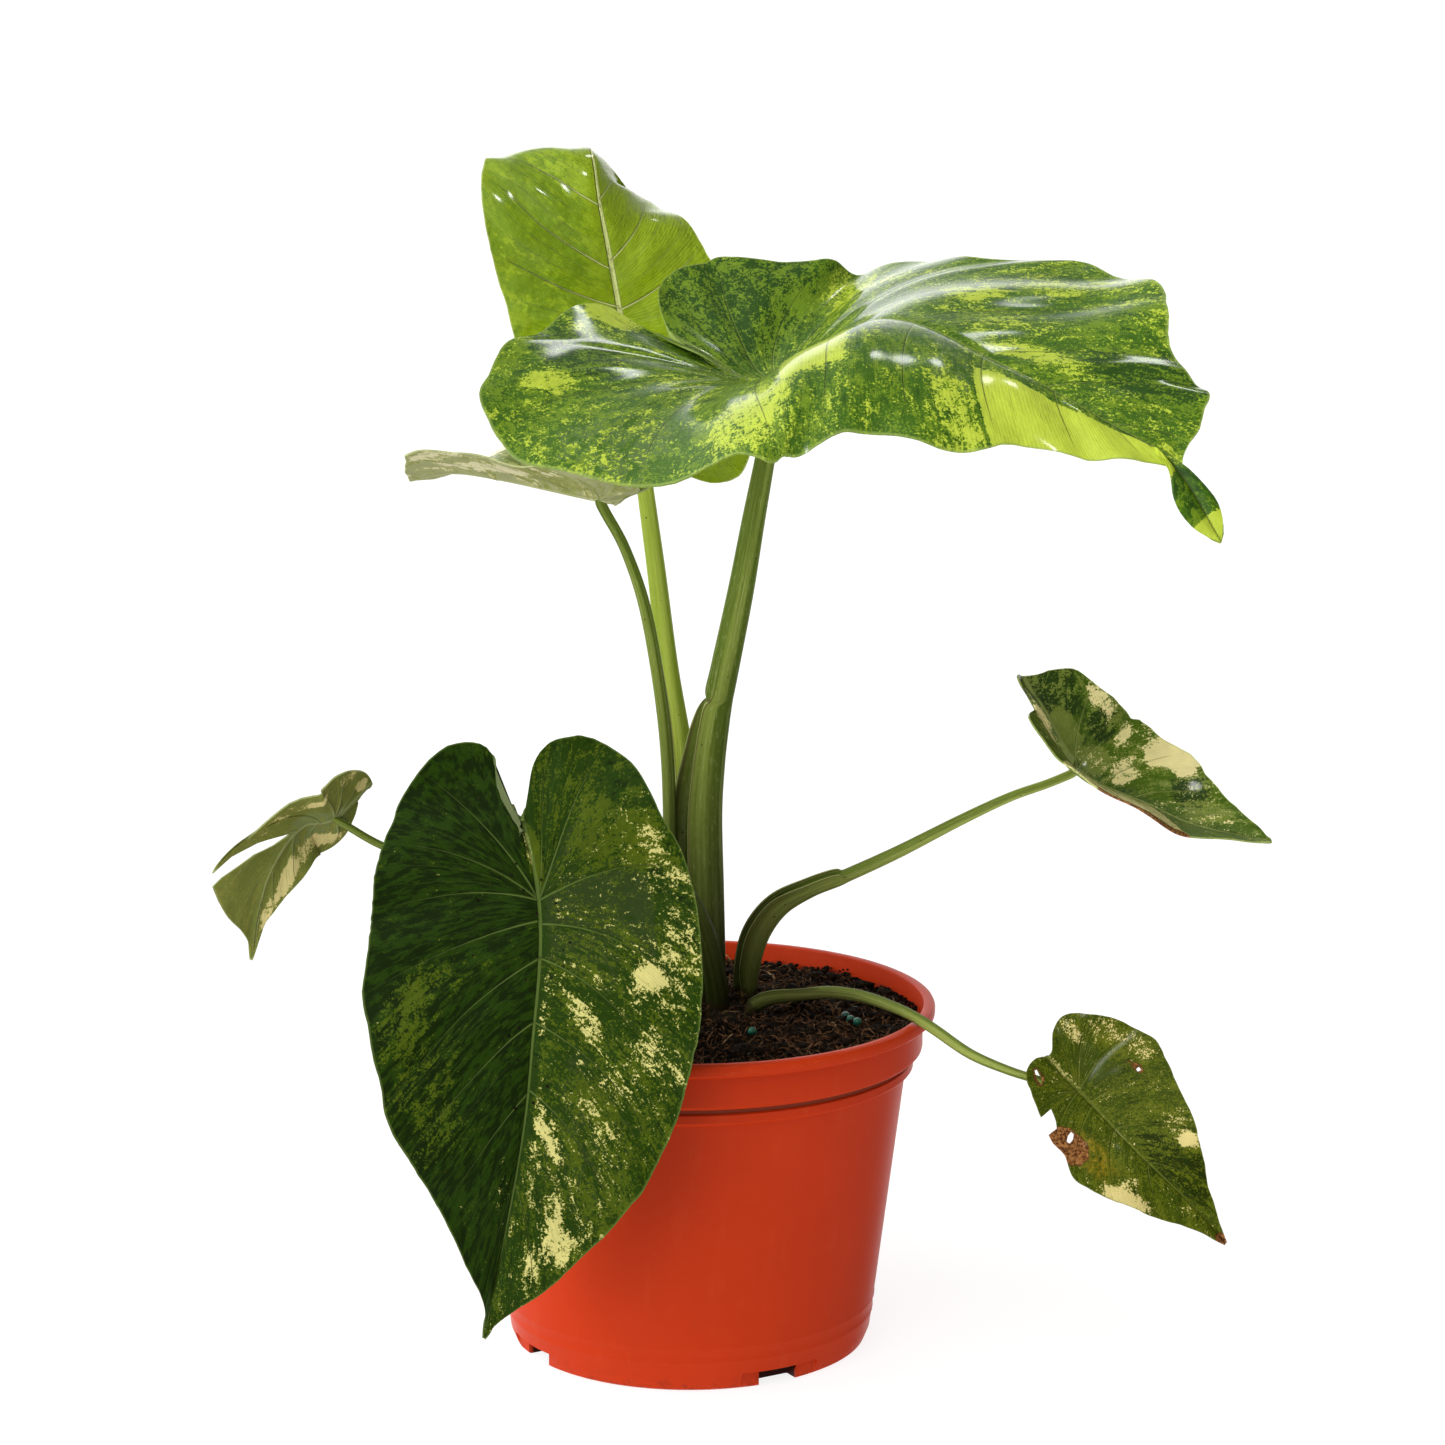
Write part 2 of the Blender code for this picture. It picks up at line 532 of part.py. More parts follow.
STALKS = (
    Stalk(
        "stalk_top",
        [
            (6.5, 8, STALK_FOOT, 4.8, 1.0, 6.0, 11.0),
            (6.5, 8, 122, 4.8, 1.0, 6.0, 11.5),
            (6.0, 8, 145, 4.8, 1.0, 6.0, 11.5),
            (5.5, 8, 168, 4.8, 1.0, 5.6, 11.0),
            (6.5, 8, 185, 4.7, 0.9, 5.0, 9.0),
            (8.5, 7.8, 200, 4.6, 0.55, 4.6, 6.2),
            (11, 7, 215, 4.5, 0.0, 4.5, 4.5),
            (16, 5, 240, 4.1, 0.0, 4.1, 4.1),
            (20, 3, 263, 3.6, 0.0, 3.6, 3.6),
            (24, 1, 285, 3.1, 0.0, 3.1, 3.1),
        ],
        (-1.0, 0.1, 0.0), TOP,
    ),
    Stalk(
        "stalk_upright",
        [
            (0.2, 16.6, STALK_FOOT, 3.2, 0.8, 3.4, 4.8),
            (0.2, 16.6, 135, 3.3, 0.8, 3.4, 5.0),
            (-0.4, 17, 162, 3.4, 0.8, 3.4, 5.0),
            (-2.4, 20.5, 185, 3.4, 0.6, 3.4, 4.4),
            (-7.0, 30, 211, 3.3, 0.0, 3.3, 3.3),
            (-11, 50, 239, 3.0, 0.0, 3.0, 3.0),
            (-15.5, 70, 268, 2.7, 0.0, 2.7, 2.7),
            (-18.5, 79, 292, 2.4, 0.0, 2.4, 2.4),
        ],
        (-1.0, 0.1, 0.0), UPRIGHT,
    ),
    Stalk(
        "stalk_high_left",
        [
            (-7.2, 9.8, STALK_FOOT, 2.1, 0.0, 2.1, 2.1),
            (-6.6, 9.6, 135, 2.1, 0.0, 2.1, 2.1),
            (-6.4, 9.4, 160, 2.1, 0.0, 2.1, 2.1),
            (-7.0, 9.4, 185, 2.1, 0.0, 2.1, 2.1),
            (-9.4, 9.6, 208, 2.0, 0.0, 2.0, 2.0),
            (-14, 10, 234, 1.9, 0.0, 1.9, 1.9),
            (-20, 10.8, 252, 1.7, 0.0, 1.7, 1.7),
        ],
        (1.0, 0.1, 0.0), HIGH_LEFT,
    ),
    Stalk(
        "stalk_front",
        [
            (9.0, -1.5, STALK_FOOT, 4.0, 0.5, 2.8, 2.8),
            (7.5, -2.5, 120, 3.6, 0.4, 3.4, 3.4),
            (3.0, -7.0, 138, 3.0, 0.2, 3.2, 3.2),
            (-6.0, -16, 155, 2.6, 0.0, 2.6, 2.6),
            (-17, -32, 167, 2.3, 0.0, 2.3, 2.3),
            (-30, -50, 171, 2.1, 0.0, 2.1, 2.1),
            (-39, -63, 166, 2.0, 0.0, 2.0, 2.0),
        ],
        (0.1, 0.6, 0.8), FRONT,
    ),
    Stalk(
        "stalk_small_left",
        [
            (-1.0, -1.0, STALK_FOOT, 2.3, 0.0, 2.3, 2.3),
            (-4.0, -3.0, 118, 2.1, 0.0, 2.1, 2.1),
            (-14, -7.5, 131, 1.8, 0.0, 1.8, 1.8),
            (-31, -14, 141, 1.5, 0.0, 1.5, 1.5),
            (-52, -23, 150, 1.3, 0.0, 1.3, 1.3),
            (-74, -31, 159, 1.2, 0.0, 1.2, 1.2),
            (-93, -37, 168, 1.2, 0.0, 1.2, 1.2),
        ],
        (0.0, 0.4, 1.0), SMALL_LEFT,
    ),
    Stalk(
        "stalk_small_right",
        [
            (17.8, 12.5, STALK_FOOT, 3.3, 0.8, 3.6, 3.6),
            (18.8, 12.5, 117, 3.4, 1.0, 5.0, 4.2),
            (22, 12.3, 128, 3.4, 1.0, 5.6, 5.0),
            (28.5, 12, 137, 3.1, 1.0, 5.2, 4.6),
            (38, 11, 143, 2.7, 0.8, 4.2, 3.8),
            (50, 10, 148, 2.2, 0.3, 3.0, 3.0),
            (66, 8, 156, 2.0, 0.0, 2.0, 2.0),
            (85, 4, 167, 1.7, 0.0, 1.7, 1.7),
            (100, 1, 175, 1.5, 0.0, 1.5, 1.5),
            (111, -1, 179.5, 1.4, 0.0, 1.4, 1.4),
        ],
        (-0.5, 0.3, 0.8), SMALL_RIGHT,
    ),
    Stalk(
        "stalk_low_right",
        [
            (19.5, -5, STALK_FOOT, 2.5, 0.4, 2.4, 2.4),
            (21, -6, 110, 2.5, 0.5, 2.8, 2.8),
            (26, -8, 112.8, 2.4, 0.5, 2.8, 2.8),
            (35, -9.5, 114.2, 2.2, 0.3, 2.5, 2.5),
            (44, -10.5, 115, 2.0, 0.0, 2.0, 2.0),
            (53.5, -14, 114.7, 1.9, 0.0, 1.9, 1.9),
            (62.5, -22, 113.7, 1.8, 0.0, 1.8, 1.8),
            (69.5, -30, 112.4, 1.7, 0.0, 1.7, 1.7),
            (75.5, -36, 110, 1.7, 0.0, 1.7, 1.7),
            (86, -43.5, 104.4, 1.6, 0.0, 1.6, 1.6),
            (97, -46.5, 100.2, 1.4, 0.0, 1.4, 1.4),
            (107, -47, 97, 1.3, 0.0, 1.3, 1.3),
        ],
        (0.0, 0.3, 1.0), LOW_RIGHT,
    ),
)

PRILL_PLACES = ((19.5, -28.5), (49.0, -8.0), (50.5, -12.0), (52.5, -15.0))


def pot_profile():
    """Returns the pot's wall from the middle of its underside, up the outside and down the inside."""
    inner_wall = WALL_TOP_RADIUS - WALL
    step = WALL_TOP_RADIUS + STEP_OUT
    lip = POT_HEIGHT - LIP_HEIGHT
    return [
        (0, 0), (FOOT_RADIUS - FOOT_ROUND, 0), (FOOT_RADIUS, FOOT_RISE), (BASE_RADIUS, CHINE_HEIGHT),
        (WALL_TOP_RADIUS, STEP_BOTTOM), (step, BAND_BOTTOM - STEP_TOP_DROP),
        (step, BAND_BOTTOM - STEP_EDGE_DROP), (WALL_TOP_RADIUS + GROOVE_OUT, BAND_BOTTOM - GROOVE_DROP),
        (BAND_RADIUS - BAND_CHAMFER, BAND_BOTTOM), (BAND_RADIUS, lip - LIP_ROUND),
        (RIM_RADIUS - LIP_EDGE, lip), (RIM_RADIUS, lip + LIP_ROUND),
        (RIM_RADIUS, POT_HEIGHT - LIP_ROUND), (RIM_RADIUS - LIP_ROUND, POT_HEIGHT),
        (MOUTH_RADIUS + LIP_EDGE, POT_HEIGHT), (MOUTH_RADIUS, POT_HEIGHT - LIP_ROUND),
        (MOUTH_RADIUS - MOUTH_TAPER, BAND_BOTTOM), (inner_wall, STEP_BOTTOM),
        (BASE_RADIUS - WALL, CHINE_HEIGHT + LIP_ROUND), (BASE_RADIUS - WALL - FLOOR_CHAMFER, FLOOR),
        (0, FLOOR),
    ]


def turned(profile, steps):
    """Returns a bmesh of a closed profile turned about the Z axis."""
    bm = bmesh.new()
    verts = [bm.verts.new((r, 0, z)) for r, z in profile]
    edges = [bm.edges.new(pair) for pair in zip(verts, verts[1:])]
    bmesh.ops.spin(
        bm, geom=verts + edges, axis=(0, 0, 1), cent=(0, 0, 0), steps=steps,
        angle=2 * math.pi, use_merge=True,
    )
    bmesh.ops.remove_doubles(bm, verts=bm.verts, dist=0.01)
    bmesh.ops.recalc_face_normals(bm, faces=bm.faces)
    return bm


def drain_cutter(name, width, inner):
    """Adds one box for each drainage place, from radius inner outwards."""
    bm = bmesh.new()
    for k in range(DRAIN_COUNT):
        box = bmesh.ops.create_cube(bm, size=1.0)["verts"]
        bmesh.ops.scale(bm, vec=(width, DRAIN_CUT_LENGTH, DRAIN_HEIGHT + DRAIN_CUT_BELOW), verts=box)
        middle = (0, -(inner + DRAIN_CUT_LENGTH / 2), (DRAIN_HEIGHT - DRAIN_CUT_BELOW) / 2)
        bmesh.ops.translate(bm, vec=middle, verts=box)
        turn = math.radians(DRAIN_FIRST_ANGLE + 360.0 * k / DRAIN_COUNT)
        bmesh.ops.rotate(bm, cent=(0, 0, 0), matrix=Matrix.Rotation(turn, 3, "Z"), verts=box)
    cutter = add_object(bm, name, material(name, (0.5, 0.5, 0.5), 0.5))
    cutter.hide_render = True
    cutter.display_type = "WIRE"
    return cutter


def build_pot():
    """Makes the pot, with its pockets and drainage notches."""
    pot = add_object(turned(pot_profile(), POT_STEPS), "pot", material("pot", (0.62, 0.06, 0.015), 0.42))
    for name, width, inner in (
        ("pocket_cutter", POCKET_WIDTH, FOOT_RADIUS - POCKET_DEPTH),
        ("drain_cutter", DRAIN_WIDTH, FOOT_RADIUS - DRAIN_DEPTH),
    ):
        cut = pot.modifiers.new(name, "BOOLEAN")
        cut.operation = "DIFFERENCE"
        cut.object = drain_cutter(name, width, inner)
    return pot


def soil_rows():
    """Returns the rings of the potting mix: centre, radius, height and lumpiness of each."""
    cx, cy = CROWN_CENTRE
    well = CROWN_RADIUS + GAP
    wall = MOUTH_RADIUS - MOUTH_TAPER - GAP - SOIL_MOUTH_GAP
    side = WALL + GAP + SOIL_WALL_GAP
    rows = [
        (cx, cy, 0.0, CROWN_BOTTOM - GAP, 0.0),
        (cx, cy, well, CROWN_BOTTOM - GAP, 0.0),
        (cx, cy, well, SOIL_CROWN, 0.0),
    ]
    for k in range(1, SOIL_RINGS + 1):
        t = k / SOIL_RINGS
        height = SOIL_CROWN + (SOIL_EDGE - SOIL_CROWN) * t
        rows.append((cx * (1 - t), cy * (1 - t), well + (wall - well) * t, height, float(k < SOIL_RINGS)))
    rows.append((0, 0, wall, BAND_BOTTOM + SOIL_SHOULDER_RISE, 0.0))
    rows.append((0, 0, WALL_TOP_RADIUS - side, STEP_BOTTOM, 0.0))
    rows.append((0, 0, BASE_RADIUS - side, CHINE_HEIGHT + SOIL_CHINE_RISE, 0.0))
    rows.append((0, 0, BASE_RADIUS - WALL - SOIL_FOOT_INSET, FLOOR + GAP, 0.0))
    rows.append((0, 0, 0.0, FLOOR + GAP, 0.0))
    return rows


def build_soil():
    """Makes the potting mix as one body with a well for the crown."""
    rows = soil_rows()
    count = len(rows) - 1

    def place(s, t):
        cx, cy, radius, height, lumpy = rows[round(t * count)]
        turn = 2 * math.pi * s
        x, y = cx + radius * math.cos(turn), cy + radius * math.sin(turn)
        spot = Vector((x / SOIL_LUMP_LENGTH, y / SOIL_LUMP_LENGTH, SOIL_LUMP_PLACE))
        lump = noise.noise(spot) * SOIL_LUMP * lumpy
        return (x, y, height + lump)

    bm = bmesh.new()
    placed_grid(bm, SOIL_STEPS, count, place)
    bmesh.ops.remove_doubles(bm, verts=bm.verts, dist=0.02)
    bmesh.ops.triangulate(bm, faces=bm.faces)
    bmesh.ops.recalc_face_normals(bm, faces=bm.faces)
    return add_object(bm, "soil", material("potting_mix", (0.018, 0.010, 0.006), 0.95))


def build_crown():
    """Makes the short thick stem that the leaf stalks stand on."""
    bm = bmesh.new()
    height = CROWN_TOP - CROWN_BOTTOM
    bmesh.ops.create_cone(
        bm, cap_ends=True, segments=CROWN_SIDES, radius1=CROWN_RADIUS - CROWN_TAPER,
        radius2=CROWN_RADIUS, depth=height,
    )
    bmesh.ops.translate(bm, vec=(*CROWN_CENTRE, CROWN_BOTTOM + height / 2), verts=bm.verts)
    return add_object(bm, "crown", material("crown", (0.10, 0.12, 0.03), 0.7))


def build_prills(soil):
    """Lays the fertiliser prills on the potting mix."""
    mat = material("prill", (0.010, 0.130, 0.080), 0.4)
    tree = BVHTree.FromPolygons([v.co for v in soil.data.vertices], [p.vertices for p in soil.data.polygons])
    for k, (x, y) in enumerate(PRILL_PLACES, 1):
        ground = 0.0
        for turn in range(8):
            dx = PRILL_BEARING * PRILL_RADIUS * math.cos(turn * math.pi / 4)
            dy = PRILL_BEARING * PRILL_RADIUS * math.sin(turn * math.pi / 4)
            for share in (0.0, 1.0):
                start = Vector((x + share * dx, y + share * dy, POT_HEIGHT + PRILL_DROP)) * MM
                ground = max(ground, tree.ray_cast(start, Vector((0, 0, -1)))[0].z)
        bm = bmesh.new()
        bmesh.ops.create_icosphere(bm, subdivisions=2, radius=PRILL_RADIUS)
        bmesh.ops.translate(bm, vec=(x, y, ground / MM + GAP + PRILL_RADIUS), verts=bm.verts)
        add_object(bm, f"prill_{k}", mat)


def main():
    """Clears the scene and builds every piece."""
    for obj in list(bpy.data.objects):
        bpy.data.objects.remove(obj)
    build_pot()
    soil = build_soil()
    build_crown()
    build_prills(soil)
    stalk_green = material("stalk_green", (0.130, 0.210, 0.035), 0.5)
    for blade in BLADES:
        blade.build(material(blade.name, blade.colour, 0.35))
    for stalk in STALKS:
        stalk.build(stalk_green)


main()
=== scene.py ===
"""The finished look of a potted variegated philodendron with seven leaves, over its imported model.

Sizes and places are in millimetres and become metres where a mesh is made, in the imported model's
frame: the origin is the centre of the pot's underside, +Z is up and -Y is the front. A blade is a
flat outline, (across, along) from the notch to the tip, that is bent over its midrib. Its veins are
numbered from the notch to the tip, and every pattern on it follows them.
"""
import logging
import math
import random
from dataclasses import dataclass, field
from enum import Enum

import bmesh
import bpy
import numpy as np
from mathutils import Matrix, Vector, noise


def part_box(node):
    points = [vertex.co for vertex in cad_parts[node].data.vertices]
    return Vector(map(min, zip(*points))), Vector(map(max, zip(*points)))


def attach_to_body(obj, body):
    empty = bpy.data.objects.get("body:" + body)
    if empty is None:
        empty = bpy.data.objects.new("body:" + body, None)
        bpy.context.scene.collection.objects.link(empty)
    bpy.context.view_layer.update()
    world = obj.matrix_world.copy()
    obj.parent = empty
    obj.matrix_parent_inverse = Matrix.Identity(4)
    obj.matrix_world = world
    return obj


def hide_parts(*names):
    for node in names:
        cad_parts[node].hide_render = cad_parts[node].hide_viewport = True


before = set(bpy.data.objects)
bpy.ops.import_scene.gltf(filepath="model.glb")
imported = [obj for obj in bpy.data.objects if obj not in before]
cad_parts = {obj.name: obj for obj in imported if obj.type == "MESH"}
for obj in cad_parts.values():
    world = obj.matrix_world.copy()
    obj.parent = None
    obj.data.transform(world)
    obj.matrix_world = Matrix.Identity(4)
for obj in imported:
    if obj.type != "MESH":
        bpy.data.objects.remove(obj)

LOG = logging.getLogger("plant")
MM = 0.001
BODY = "root"

Colour = tuple[float, float, float]
Socket = bpy.types.NodeSocket
Value = Socket | float


class Face(Enum):
    """Which side of a blade a finish is for."""

    UPPER = 1
    UNDER = 2


class Half(Enum):
    """Which half of a blade, seen from its upper side with the tip ahead."""

    RIGHT = 1
    LEFT = 2


class Mark(Enum):
    """What a spot on a blade changes."""

    CREAM = 0
    TONE = 1
    BROWN = 2
    HALO = 3
    PALE = 4


def srgb(red: float, green: float, blue: float) -> Colour:
    """Turns a screen colour into the linear colour that shaders use.

    Args:
        red: Red from 0 to 255.
        green: Green from 0 to 255.
        blue: Blue from 0 to 255.

    Returns:
        The linear colour.
    """
    def linear(value: float) -> float:
        """Returns one channel as linear light."""
        share = value / 255.0
        return share / 12.92 if share <= 0.04045 else ((share + 0.055) / 1.055) ** 2.4

    return (linear(red), linear(green), linear(blue))


def unit(v: np.ndarray) -> np.ndarray:
    """Returns vectors of length one, along the last axis."""
    return v / np.linalg.norm(v, axis=-1, keepdims=True)


def smooth_through(values: list | np.ndarray, steps: int) -> np.ndarray:
    """Makes a smooth curve through points.

    Args:
        values: The points, one row each.
        steps: How many steps to make between each two points.

    Returns:
        The points of the curve, one row each.
    """
    p = np.asarray(values, float)
    slope = np.zeros_like(p)
    slope[1:-1] = (p[2:] - p[:-2]) / 2
    slope[0] = p[1] - p[0]
    slope[-1] = p[-1] - p[-2]
    t = (np.arange(steps) / steps)[:, None]
    parts = [
        (2 * t**3 - 3 * t**2 + 1) * p[i] + (t**3 - 2 * t**2 + t) * slope[i]
        + (3 * t**2 - 2 * t**3) * p[i + 1] + (t**3 - t**2) * slope[i + 1]
        for i in range(len(p) - 1)
    ]
    return np.concatenate([*parts, p[-1:]])


def arc_lengths(points: np.ndarray) -> np.ndarray:
    """Returns the distance along a line of points, from its first point to each."""
    steps = np.linalg.norm(np.diff(points, axis=0), axis=1)
    return np.concatenate([[0.0], np.cumsum(steps)])


class Nodes:
    """A material or a world and short names for making its nodes.

    Args:
        name: Its name.
        world: Whether it is a world.
    """

    def __init__(self, name: str, world: bool = False) -> None:
        self.owner = (bpy.data.worlds if world else bpy.data.materials).new(name)
        self.owner.use_nodes = True
        self.tree = self.owner.node_tree
        self.shader = self.tree.nodes["Background" if world else "Principled BSDF"]

    def node(self, kind: str, **settings: object) -> bpy.types.Node:
        """Adds a node and sets its properties."""
        made = self.tree.nodes.new(kind)
        for key, value in settings.items():
            setattr(made, key, value)
        return made

    def put(self, socket: Socket, value: Value | Colour) -> None:
        """Links a socket to another, or sets its value."""
        if isinstance(value, bpy.types.NodeSocket):
            self.tree.links.new(value, socket)
        elif isinstance(value, tuple) and len(socket.default_value) == 4:
            socket.default_value = (*value, 1.0)
        else:
            socket.default_value = value

    def math(self, operation: str, a: Value, b: Value = 0.0) -> Socket:
        """Adds a Math node and returns its result."""
        made = self.node("ShaderNodeMath", operation=operation)
        self.put(made.inputs[0], a)
        self.put(made.inputs[1], b)
        return made.outputs[0]

    def add(self, *values: Value) -> Socket:
        """Returns the sum of the values."""
        total = values[0]
        for value in values[1:]:
            total = self.math("ADD", total, value)
        return total

    def times(self, a: Value, b: Value) -> Socket:
        """Returns the product of two values."""
        return self.math("MULTIPLY", a, b)

    def minus(self, a: Value, b: Value) -> Socket:
        """Returns a less b."""
        return self.math("SUBTRACT", a, b)

    def held(self, value: Value) -> Socket:
        """Returns the value, held between 0 and 1."""
        return self.math("MINIMUM", self.math("MAXIMUM", value, 0.0), 1.0)

    def step(self, value: Value, low: float, high: float) -> Socket:
        """Returns a smooth step from 0 where the value is low to 1 where it is high."""
        made = self.node("ShaderNodeMapRange", interpolation_type="SMOOTHSTEP")
        self.put(made.inputs["Value"], value)
        ends = (low, high, 0.0, 1.0) if low < high else (high, low, 1.0, 0.0)
        for name, end in zip(("From Min", "From Max", "To Min", "To Max"), ends):
            made.inputs[name].default_value = end
        return made.outputs["Result"]

    def mix(self, share: Value, a: Value | Colour, b: Value | Colour) -> Socket:
        """Returns a colour between a, where share is 0, and b, where it is 1."""
        made = self.node("ShaderNodeMix", data_type="RGBA", clamp_factor=True)
        self.put(made.inputs[0], share)
        self.put(made.inputs[6], a)
        self.put(made.inputs[7], b)
        return made.outputs[2]

    def tint(
        self, colour: Value | Colour, other: Value | Colour, most: float, value: Value,
        low: float, high: float,
    ) -> Socket:
        """Mixes another colour in, with the most of it where a value is high.

        Args:
            colour: The colour.
            other: The colour that is mixed in.
            most: Its share where the value is high.
            value: What steers it.
            low: The value where it starts.
            high: The value where it is at its most.

        Returns:
            The mixed colour.
        """
        return self.mix(self.times(self.step(value, low, high), most), colour, other)

    def shade(self, colour: Value | Colour, factor: Value) -> Socket:
        """Returns a colour times a grey factor."""
        made = self.node("ShaderNodeVectorMath", operation="SCALE")
        self.put(made.inputs[0], colour)
        self.put(made.inputs[3], factor)
        return made.outputs[0]

    def vector(self, x: Value, y: Value, z: Value = 0.0) -> Socket:
        """Returns a vector of three values."""
        made = self.node("ShaderNodeCombineXYZ")
        for socket, value in zip(made.inputs, (x, y, z)):
            self.put(socket, value)
        return made.outputs[0]

    def split(self, vector: Socket) -> tuple[Socket, Socket, Socket]:
        """Returns the three values of a vector."""
        made = self.node("ShaderNodeSeparateXYZ")
        self.put(made.inputs[0], vector)
        return tuple(made.outputs)

    def layer(self, name: str) -> tuple[Socket, Socket]:
        """Returns the two values of a UV map."""
        return self.split(self.node("ShaderNodeUVMap", uv_map=name).outputs[0])[:2]

    def places(self) -> Socket:
        """Returns places on the object in millimetres."""
        made = self.node("ShaderNodeVectorMath", operation="SCALE")
        self.put(made.inputs[0], self.node("ShaderNodeTexCoord").outputs["Object"])
        made.inputs[3].default_value = 1000.0
        return made.outputs[0]

    def noise(
        self, vector: Socket, size: float, detail: float = 3.0, rough: float = 0.55,
        warp: float = 0.0,
    ) -> Socket:
        """Returns noise around 0.5.

        Args:
            vector: Where to read the noise, in the vector's own unit.
            size: The size of its largest lumps in that unit.
            detail: How many finer layers it has.
            rough: How strong the finer layers are.
            warp: How far it is distorted.

        Returns:
            The noise.
        """
        made = self.node("ShaderNodeTexNoise")
        self.put(made.inputs["Vector"], vector)
        made.inputs["Scale"].default_value = 1.0 / size
        made.inputs["Detail"].default_value = detail
        made.inputs["Roughness"].default_value = rough
        made.inputs["Distortion"].default_value = warp
        return made.outputs[0]

    def swing(self, vector: Socket, *shape: float) -> Socket:
        """Returns noise around 0, of the shape that noise() takes."""
        return self.minus(self.noise(vector, *shape), 0.5)

    def cells(self, vector: Socket, size: float) -> Socket:
        """Returns the distance in a cell pattern of this size."""
        made = self.node("ShaderNodeTexVoronoi")
        self.put(made.inputs["Vector"], vector)
        made.inputs["Scale"].default_value = 1.0 / size
        return made.outputs["Distance"]

    def bump(self, height: Value, distance: float) -> None:
        """Gives the shader a bump whose height is in units of distance, in millimetres."""
        made = self.node("ShaderNodeBump")
        made.inputs["Strength"].default_value = 1.0
        made.inputs["Distance"].default_value = distance * MM
        self.put(made.inputs["Height"], height)
        self.put(self.shader.inputs["Normal"], made.outputs[0])

    def finish(
        self, colour: Value | Colour, roughness: Value, **fixed: float
    ) -> bpy.types.Material:
        """Sets the shader's colour and roughness.

        Args:
            colour: The base colour.
            roughness: The roughness.
            **fixed: Other sockets, by their names with underscores.

        Returns:
            The material.
        """
        self.put(self.shader.inputs["Base Color"], colour)
        self.put(self.shader.inputs["Roughness"], roughness)
        for key, value in fixed.items():
            self.shader.inputs[key.replace("_", " ")].default_value = value
        return self.owner


